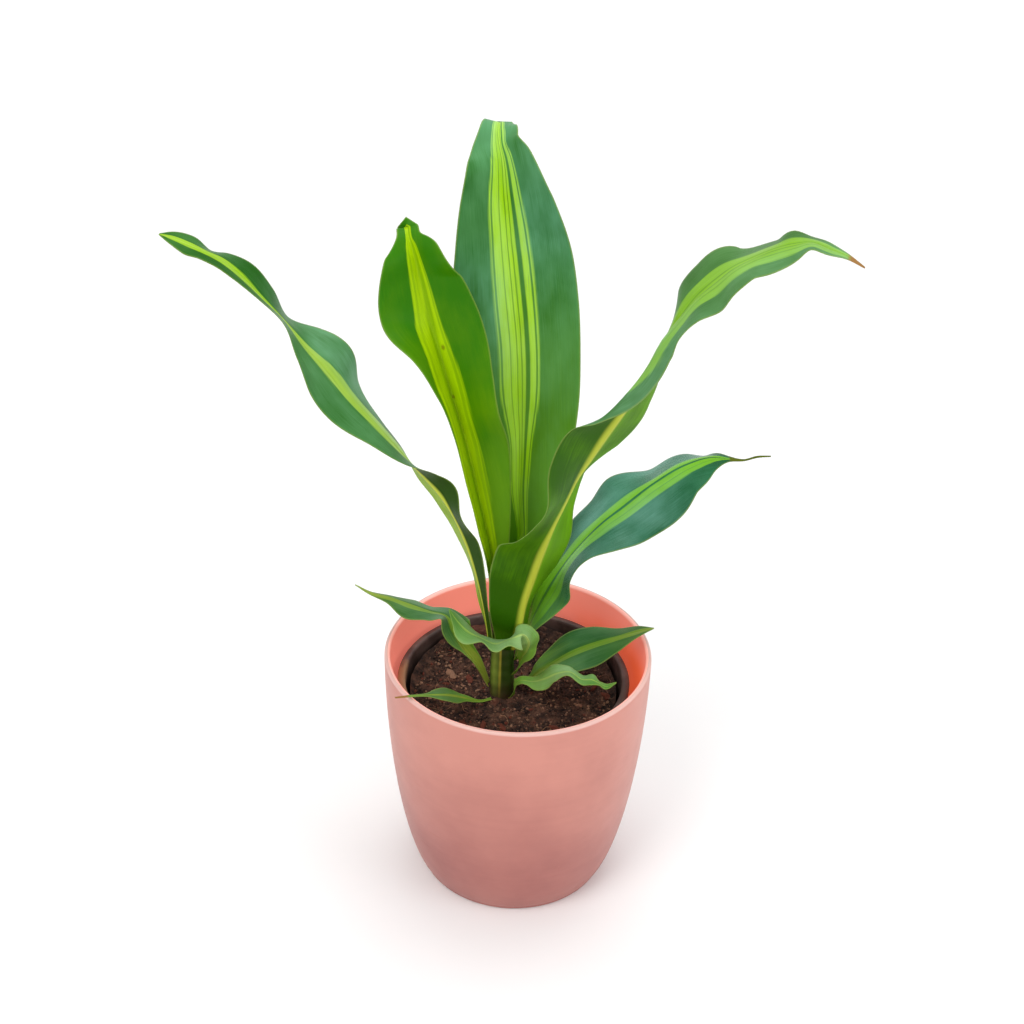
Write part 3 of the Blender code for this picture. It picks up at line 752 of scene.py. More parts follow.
@dataclass
class SoilBed:
    """The soil in the nursery pot with its crumbs, chips and root fibres."""

    centre: Point = (-2.0, 0.0)
    top: float = 104.5
    edge_radius: float = 53.9
    foot_radius: float = 39.4
    foot: float = 5.5
    mound: float = 1.2
    mound_reach: float = 16.0
    collar: float = 1.6
    collar_reach: float = 8.5
    lump_height: float = 1.1
    lump_size: float = 16.0
    grain_height: float = 0.55
    grain_size: float = 3.4
    cling_height: float = 3.6
    cling_start: float = 46.0
    bank_height: float = 5.0
    bank_start: float = 22.0
    bank_angle: float = 110.0
    stem: Point = (-8.0, 0.5)
    stem_radius: float = 6.7
    rings: int = 96
    segments: int = 300
    crumbs: int = 9000
    crumb_sizes: Point = (0.24, 1.15)
    chips: int = 60
    chip_sizes: Point = (0.9, 2.6)
    # Fibres that start at the left edge: place and heading in degrees.
    edge_fibres: Table = (
        (-46.0, -14.0, 20.0), (-44.0, -22.0, 75.0), (-47.0, -4.0, 60.0), (-40.0, -8.0, 100.0),
    )
    loose_fibres: int = 20
    fibre_radius: float = 0.16
    fibre_step: float = 1.3
    fibre_points: int = 14
    fibre_margin: float = 2.0
    seed: int = 11

    def surface(self, x: np.ndarray, y: np.ndarray) -> np.ndarray:
        """Height of the soil's top at places given in the model's frame.

        Args:
            x: Places along X.
            y: Places along Y.

        Returns:
            The heights, in millimetres.
        """
        radius = np.hypot(x - self.centre[0], y - self.centre[1])
        from_stem = np.hypot(x - self.stem[0], y - self.stem[1])
        dome = 1.0 - (radius / self.edge_radius) ** 2
        mound = self.mound * np.exp(-((from_stem / self.mound_reach) ** 2))
        collar = self.collar * np.exp(-((from_stem / self.collar_reach) ** 4))
        lumps = self.lump_height * rolling(x, y, self.lump_size, self.seed, 3)
        grains = self.grain_height * rolling(x, y, self.grain_size, self.seed + 1, 4)
        climb = np.maximum(0.0, (radius - self.bank_start) / (self.edge_radius - self.bank_start)) ** 2
        angle = np.arctan2(y - self.centre[1], x - self.centre[0])
        bank = self.bank_height * climb * (1.0 + np.cos(angle - math.radians(self.bank_angle))) / 2
        cling = np.maximum(0.0, (radius - self.cling_start) / (self.edge_radius - self.cling_start)) ** 2
        return self.top + dome + mound + collar + lumps + grains + bank + self.cling_height * cling

    def height_at(self, x: float, y: float) -> float:
        """Height of the soil's top at one place."""
        return float(self.surface(np.array([x]), np.array([y]))[0])

    def build_bed(self) -> bpy.types.Object:
        """The closed body of soil, its top a fine rolling surface."""
        angles = 2.0 * np.pi * np.arange(self.segments) / self.segments
        radii = self.edge_radius * (np.arange(1, self.rings + 1) / self.rings)
        points = []
        for radius in radii:
            x = self.centre[0] + radius * np.cos(angles)
            y = self.centre[1] + radius * np.sin(angles)
            points.append(np.column_stack([x, y, self.surface(x, y)]))
        for radius, height in ((self.edge_radius - 0.2, self.top - 4.0), (self.foot_radius, self.foot)):
            x = self.centre[0] + radius * np.cos(angles)
            y = self.centre[1] + radius * np.sin(angles)
            points.append(np.column_stack([x, y, np.full(self.segments, height)]))
        ends = np.array([(*self.centre, self.height_at(*self.centre)), (*self.centre, self.foot)])
        rows, count = self.rings + 2, self.segments
        faces = grid_faces(rows, count, face=Face.BACK, closed=True)
        top, low, last = rows * count, rows * count + 1, (rows - 1) * count
        faces += [(top, i, (i + 1) % count) for i in range(count)]
        faces += [(low, last + (i + 1) % count, last + i) for i in range(count)]
        points = np.concatenate([*points, ends])
        shade = 0.25 + 0.2 * rolling(points[:, 0], points[:, 1], 9.0, self.seed + 2, 3)
        return make_piece("soil_bed", points, faces, {"shade": shade, "red": np.zeros(len(points))})

    def scatter(self, name: str, count: int, sizes: Point, stretch: float, seed: int,
                redness: float) -> bpy.types.Object:
        """Scatter small irregular lumps over the soil.

        Args:
            name: The piece's name.
            count: How many lumps.
            sizes: Smallest and largest half size, in millimetres.
            stretch: How much longer than wide a lump is.
            seed: Which arrangement.
            redness: Share of lumps that are reddish bark.

        Returns:
            One mesh with every lump.
        """
        maker = np.random.default_rng(seed)
        gold = (1 + 5**0.5) / 2
        unit = np.array([
            (-1, gold, 0), (1, gold, 0), (-1, -gold, 0), (1, -gold, 0), (0, -1, gold), (0, 1, gold),
            (0, -1, -gold), (0, 1, -gold), (gold, 0, -1), (gold, 0, 1), (-gold, 0, -1), (-gold, 0, 1)])
        unit /= np.linalg.norm(unit[0])
        ball = [
            (0, 11, 5), (0, 5, 1), (0, 1, 7), (0, 7, 10), (0, 10, 11), (1, 5, 9), (5, 11, 4), (11, 10, 2),
            (10, 7, 6), (7, 1, 8), (3, 9, 4), (3, 4, 2), (3, 2, 6), (3, 6, 8), (3, 8, 9), (4, 9, 5),
            (2, 4, 11), (6, 2, 10), (8, 6, 7), (9, 8, 1)]
        points, faces, shades, reds = [], [], [], []
        while len(points) < count:
            radius = (self.edge_radius - 2.5) * math.sqrt(maker.uniform())
            angle = maker.uniform(0.0, 2.0 * math.pi)
            x, y = self.centre[0] + radius * math.cos(angle), self.centre[1] + radius * math.sin(angle)
            if math.hypot(x - self.stem[0], y - self.stem[1]) < self.stem_radius + 0.6:
                continue
            size = sizes[0] + (sizes[1] - sizes[0]) * maker.uniform() ** 3
            lump = unit * maker.uniform(0.7, 1.15, (12, 1)) * size
            lump *= (stretch * maker.uniform(0.8, 1.2), maker.uniform(0.7, 1.0), maker.uniform(0.45, 0.8))
            heading = Matrix.Rotation(maker.uniform(0, 2 * math.pi), 3, "Z")
            lean = Matrix.Rotation(maker.uniform(-0.4, 0.4), 3, "X")
            lump = lump @ np.array(heading @ lean).T
            height = self.height_at(x, y)
            faces += [tuple(c + 12 * len(points) for c in face) for face in ball]
            points.append(lump + (x, y, height + size * 0.25))
            shades.append(maker.uniform() ** 1.25)
            reds.append(0.9 if maker.uniform() < redness else 0.0)
        notes = {"shade": np.repeat(shades, 12), "red": np.repeat(reds, 12)}
        return make_piece(name, np.concatenate(points), faces, notes, smooth=False)

    def build_fibres(self) -> bpy.types.Object:
        """Fine dry roots that lie over the soil, a few starting at the left edge and the rest scattered."""
        maker = np.random.default_rng(self.seed + 5)
        curve = bpy.data.curves.new("root_fibres", "CURVE")
        curve.dimensions = "3D"
        curve.bevel_depth = self.fibre_radius * MM
        curve.bevel_resolution = 1
        starts = list(self.edge_fibres)
        for _ in range(self.loose_fibres):
            starts.append((maker.uniform(-40, 40), maker.uniform(-40, 40), maker.uniform(0, 360)))
        for x, y, heading in starts:
            spline = curve.splines.new("POLY")
            spline.points.add(self.fibre_points - 1)
            turn = math.radians(heading)
            for i in range(self.fibre_points):
                height = self.height_at(x, y) + 0.5 + 0.9 * math.sin(i * 0.7) ** 2
                spline.points[i].co = (x * MM, y * MM, height * MM, 1.0)
                spline.points[i].radius = 1.0 - 0.05 * i
                turn += maker.uniform(-0.5, 0.5)
                x, y = x + self.fibre_step * math.cos(turn), y + self.fibre_step * math.sin(turn)
                from_centre = np.array((x - self.centre[0], y - self.centre[1]))
                past = math.hypot(*from_centre) / (self.edge_radius - self.fibre_margin)
                if past > 1.0:
                    x, y = from_centre / past + self.centre
        holder = bpy.data.objects.new("fibre_path", curve)
        bpy.context.scene.collection.objects.link(holder)
        bpy.context.view_layer.update()
        mesh = bpy.data.meshes.new_from_object(holder.evaluated_get(bpy.context.evaluated_depsgraph_get()))
        mesh.name = "root_fibres"
        bpy.data.objects.remove(holder)
        made = bpy.data.objects.new("root_fibres", mesh)
        bpy.context.scene.collection.objects.link(made)
        return made

    def build(self) -> None:
        """Build and dress the soil and what lies on it."""
        soil = SoilFinish("soil_detailed").paint()
        dress(self.build_bed(), soil, "soil", "soil")
        dress(self.scatter("soil_crumbs", self.crumbs, self.crumb_sizes, 1.15, self.seed + 3, 0.04), soil,
              "soil")
        dress(self.scatter("bark_chips", self.chips, self.chip_sizes, 1.9, self.seed + 4, 0.4), soil, "soil")
        dress(self.build_fibres(), FibreFinish().paint(), "soil")


@dataclass
class Stem:
    """The short stem that every leaf clasps."""

    centre: Point = (-8.0, 0.5)
    top: float = 169.8
    segments: int = 96
    rings: int = 110
    # Degrees round the stem for each step of the number that its material reads.
    turn_unit: float = 18.0
    profile: Table = (
        (62.0, 4.5), (64.0, 6.0), (85.0, 6.6), (104.0, 6.7), (112.0, 6.5), (124.0, 6.3),
        (136.0, 6.0), (148.0, 5.4), (157.0, 4.4), (164.0, 3.0), (169.0, 1.2),
    )

    def build(self) -> None:
        """Build and dress the stem, with shallow steps where old leaves were."""
        table = np.array(self.profile)
        heights = np.linspace(table[-1, 0], table[0, 0], self.rings)
        radii = np.interp(heights, table[:, 0], table[:, 1])
        radii -= 0.12 * (1.0 + np.sin(heights * 2.0 * np.pi / 6.5)) * (heights < 150.0)
        profile = [(0.0, self.top), *zip(radii, heights), (0.0, table[0, 0])]
        stem = turned_piece("stem_fine", profile, self.segments, self.centre)
        turn = np.empty(len(stem.data.vertices))
        for i, vertex in enumerate(stem.data.vertices):
            place = vertex.co / MM
            angle = math.atan2(place.y - self.centre[1], place.x - self.centre[0])
            turn[i] = math.degrees(angle) % 360.0 / self.turn_unit
        kept = stem.data.attributes.new("turn", "FLOAT", "POINT")
        kept.data.foreach_set("value", turn.astype(np.float32))
        dress(stem, StemFinish().paint(), "stem_green", "stem")


# Leaves

DEEP = LeafFinish(
    side=tint(26, 88, 0), side_light=tint(78, 144, 62), lime=tint(140, 186, 20),
    lime_light=tint(182, 212, 96), under=tint(38, 70, 0), under_light=tint(138, 172, 44),
    under_rib=tint(186, 196, 70), rib_width=1.6, feather=0.7, under_lit_half=0.7,
)
LIME = LeafFinish(
    side=tint(48, 116, 0), side_light=tint(106, 150, 0), lime=tint(158, 196, 0),
    lime_light=tint(196, 232, 10), under=tint(54, 92, 0), under_light=tint(110, 150, 10),
    under_rib=tint(176, 186, 60), gloss=0.42, base_reach=130.0,
    lines=((0.3, 0.24, 0.4), (-0.62, 0.1, 0.25), (0.86, 0.06, 0.4)),
)
CENTRE = LeafFinish(
    side=tint(28, 94, 14), side_light=tint(82, 142, 62), lime=tint(158, 208, 0),
    lime_light=tint(182, 226, 92), under=tint(54, 92, 0), under_light=tint(96, 136, 20),
    under_rib=tint(150, 152, 30), gloss=0.36, painted_sheen=tint(122, 190, 168), base_reach=170.0,
    lines=((-0.86, 0.05, 0.8), (-0.42, 0.03, 0.55), (-0.1, 0.03, 0.6), (0.12, 0.03, 0.6),
           (0.42, 0.11, 0.95), (0.86, 0.045, 0.85)),
)
ARCHING = LeafFinish(
    side=tint(40, 92, 16), side_light=tint(88, 138, 66), lime=tint(116, 166, 16),
    lime_light=tint(140, 188, 72), under=tint(44, 88, 0), under_light=tint(100, 156, 0),
    under_rib=tint(178, 188, 60), rib_width=2.6, feather=0.45, under_lit_half=-0.26,
    lines=((-0.25, 0.04, 0.5), (0.05, 0.05, 0.55), (0.4, 0.04, 0.45)),
)
LOW = LeafFinish(
    side=tint(10, 80, 36), side_light=tint(60, 132, 92), lime=tint(104, 168, 14),
    lime_light=tint(130, 192, 66), under=tint(48, 80, 0), under_light=tint(84, 120, 10),
    under_rib=tint(140, 150, 30), gloss=0.28, painted_sheen=tint(150, 204, 200), base_reach=60.0,
    dry=tint(84, 96, 10),
    lines=((-0.12, 0.12, 0.95), (0.5, 0.04, 0.4)),
)
PALE = LeafFinish(
    side=tint(74, 128, 40), side_light=tint(146, 184, 112), lime=tint(130, 166, 56),
    lime_light=tint(168, 198, 118), under=tint(70, 112, 14), under_light=tint(122, 158, 60),
    under_rib=tint(140, 150, 50), gloss=0.45, painted_sheen=tint(156, 190, 150),
)
SMALL = LeafFinish(
    side=tint(30, 86, 22), side_light=tint(92, 132, 54), lime=tint(92, 138, 34),
    lime_light=tint(154, 168, 60), under=tint(50, 86, 4), under_light=tint(134, 152, 50),
    under_rib=tint(140, 150, 50), gloss=0.38,
)


@dataclass
class Leaf:
    """One leaf on its own ribs, from base to tip.

    A rib is (x, y, z, half width, turn, left, right, left wrap, right wrap). The band gives the lime
    band's centre and half width across the blade at shares of its length. The sheen table gives a
    painted sheen, a painted reflection, on the left and right halves, and the tone table how light
    the green is, partly painted light and shade along the leaf.
    """

    name: str
    node: str
    slot: str
    finish: LeafFinish
    ribs: Table
    band: Table = ((0.0, 0.0, 0.1), (1.0, 0.0, 0.1))
    # Painted sheen, a painted reflection, on the left and right halves at shares of the length.
    painted_sheen: Table = ((0.0, 0.0, 0.0), (1.0, 0.0, 0.0))
    # How light the green is along the leaf, partly painted light and shade.
    tone_and_painted_light: Table = ((0.0, 0.3), (1.0, 0.3))
    flecks: Table = ()
    # Share of the length where the dry tip starts; past 1 there is none.
    dry_from: float = 2.0
    seed: float = 0.0
    steps: int = 220
    across: int = 15
    thickness: float = 0.55
    crease: float = 0.5
    tip_half: float = 0.5
    least_band: float = 0.02
    notes: dict[str, np.ndarray] = field(default_factory=dict)

    def rows(self) -> np.ndarray:
        """Evenly spaced rows read from a smooth curve through the ribs."""
        table = np.array([(*rib, *(0.0,) * 5)[:9] for rib in self.ribs], dtype=float)
        spans = np.linalg.norm(np.diff(table[:, :3], axis=0), axis=1)
        reach = np.concatenate(([0.0], np.cumsum(spans)))
        slopes = np.gradient(table, reach, axis=0)
        s = np.linspace(0.0, reach[-1], self.steps + 1)
        k = np.minimum(np.searchsorted(reach, s, side="right") - 1, len(reach) - 2)
        width = (reach[k + 1] - reach[k])[:, None]
        t = (s[:, None] - reach[k][:, None]) / width
        return ((2 * t**3 - 3 * t**2 + 1) * table[k] + (t**3 - 2 * t**2 + t) * width * slopes[k]
                + (3 * t**2 - 2 * t**3) * table[k + 1] + (t**3 - t**2) * width * slopes[k + 1])

    def half(self, side: np.ndarray, face: np.ndarray, width: np.ndarray, lift: np.ndarray, wrap: np.ndarray,
             shares: np.ndarray) -> np.ndarray:
        """Offsets from the midrib out to one margin.

        Args:
            side: Unit vectors across the blade, one per row.
            face: Unit vectors toward the upper face.
            width: Half widths.
            lift: Angles of the half blade, in degrees.
            wrap: Further bend on the way out, in degrees.
            shares: Shares of the half width.

        Returns:
            An array of rows, shares and coordinates.
        """
        middles = (np.arange(12) + 0.5) / 12
        angles = np.radians(lift[:, None, None] + wrap[:, None, None] * shares[None, :, None] * middles)
        outward = np.cos(angles).mean(-1)[..., None] * side[:, None]
        upward = np.sin(angles).mean(-1)[..., None] * face[:, None]
        return (width[:, None] * shares)[..., None] * (outward + upward)

    def sheet(self) -> tuple[np.ndarray, np.ndarray, np.ndarray]:
        """The blade's middle sheet.

        Returns:
            Its points by row and column, the columns' shares across, and the half widths.
        """
        rows = self.rows()
        forward = np.gradient(rows[:, :3], axis=0)
        forward /= np.linalg.norm(forward, axis=1, keepdims=True)
        side = np.cross(forward, FACED_POINT - rows[:, :3])
        side /= np.linalg.norm(side, axis=1, keepdims=True)
        face = np.cross(side, forward)
        width = np.maximum(rows[:, 3], self.tip_half)
        turn, left, right, left_wrap, right_wrap = rows[:, 4:].T
        shares = (np.arange(1, self.across + 1) / self.across) ** 1.15
        one = self.half(-side, face, width, left - turn, left_wrap, shares)[:, ::-1]
        two = self.half(side, face, width, right + turn, right_wrap, shares)
        points = np.concatenate([one, np.zeros_like(one[:, :1]), two], axis=1) + rows[:, None, :3]
        return points, np.concatenate([-shares[::-1], [0.0], shares]), width

    def build(self) -> None:
        """Build and dress the leaf as a thin closed blade with a creased midrib."""
        points, places, width = self.sheet()
        count, columns = points.shape[:2]
        normal = np.cross(np.gradient(points, axis=1), np.gradient(points, axis=0))
        normal /= np.maximum(np.linalg.norm(normal, axis=2, keepdims=True), 1e-9)
        strides = np.linalg.norm(np.diff(points[:, self.across], axis=0), axis=1)
        run = np.concatenate(([0.0], np.cumsum(strides)))
        share = run / run[-1]
        across = width[:, None] * places
        room = np.clip(width / 12.0, 0.1, 1.0)[:, None]
        crease = self.crease * room * np.exp(-((across / (1.4 * room)) ** 2))
        thick = 0.5 * self.thickness * (1.0 - 0.55 * np.abs(places) ** 3)[None, :] * np.clip(room + 0.4, 0, 1)
        middle = points - normal * crease[..., None]
        skin = np.concatenate([(middle + normal * thick[..., None]).reshape(-1, 3),
                               (middle - normal * thick[..., None]).reshape(-1, 3)])
        size = count * columns
        faces = grid_faces(count, columns) + grid_faces(count, columns, size, Face.BACK)
        edge = [i * columns for i in range(count)]
        edge = edge[::-1] + list(range(1, columns)) + [i * columns + columns - 1 for i in range(1, count)]
        edge += list(range(size - 2, size - columns, -1))
        faces += [(b, a, a + size, b + size) for a, b in zip(edge, edge[1:] + edge[:1])]
        self.keep_notes(share, places, width, run)
        notes = {key: np.concatenate([values.ravel(), values.ravel()]) for key, values in self.notes.items()}
        notes["under"] = np.repeat([0.0, 1.0], size)
        piece = make_piece(self.name, skin, faces, notes)
        dress(piece, self.finish.paint(self.name + "_green", self.seed, self.flecks), self.slot, self.node)

    def keep_notes(self, share: np.ndarray, places: np.ndarray, width: np.ndarray, run: np.ndarray) -> None:
        """Work out the numbers that the leaf's material reads."""
        flat = np.ones_like(places)[None, :]

        def along(table: Table, column: int) -> np.ndarray:
            """One column of a table, read along the leaf."""
            rows = np.array(table)
            reach = np.pad(np.interp(share, rows[:, 0], rows[:, column]), SMOOTH_ROWS, mode="edge")
            window = np.hanning(2 * SMOOTH_ROWS + 3)[1:-1]
            return np.convolve(reach, window / window.sum(), mode="valid")[:, None]

        across = width[:, None] * places
        half_band = np.maximum(along(self.band, 2), self.least_band)
        painted_sheen = np.where(places < 0, along(self.painted_sheen, 1), along(self.painted_sheen, 2))
        self.notes = {
            "across_mm": across,
            "along_mm": run[:, None] * flat,
            "band": (places - along(self.band, 1)) / half_band,
            "edge_mm": width[:, None] * (1.0 - np.abs(places)),
            "tone_and_painted_light": along(self.tone_and_painted_light, 1) * flat,
            "painted_sheen": painted_sheen * np.minimum(1, np.abs(places) * 3),
            "dry": np.clip((share[:, None] - self.dry_from) / 0.02 + 0.5, 0, 1) * flat,
            "rib": np.clip(width / FULL_RIB_HALF, 0.1, 1.0)[:, None] * flat,
        }


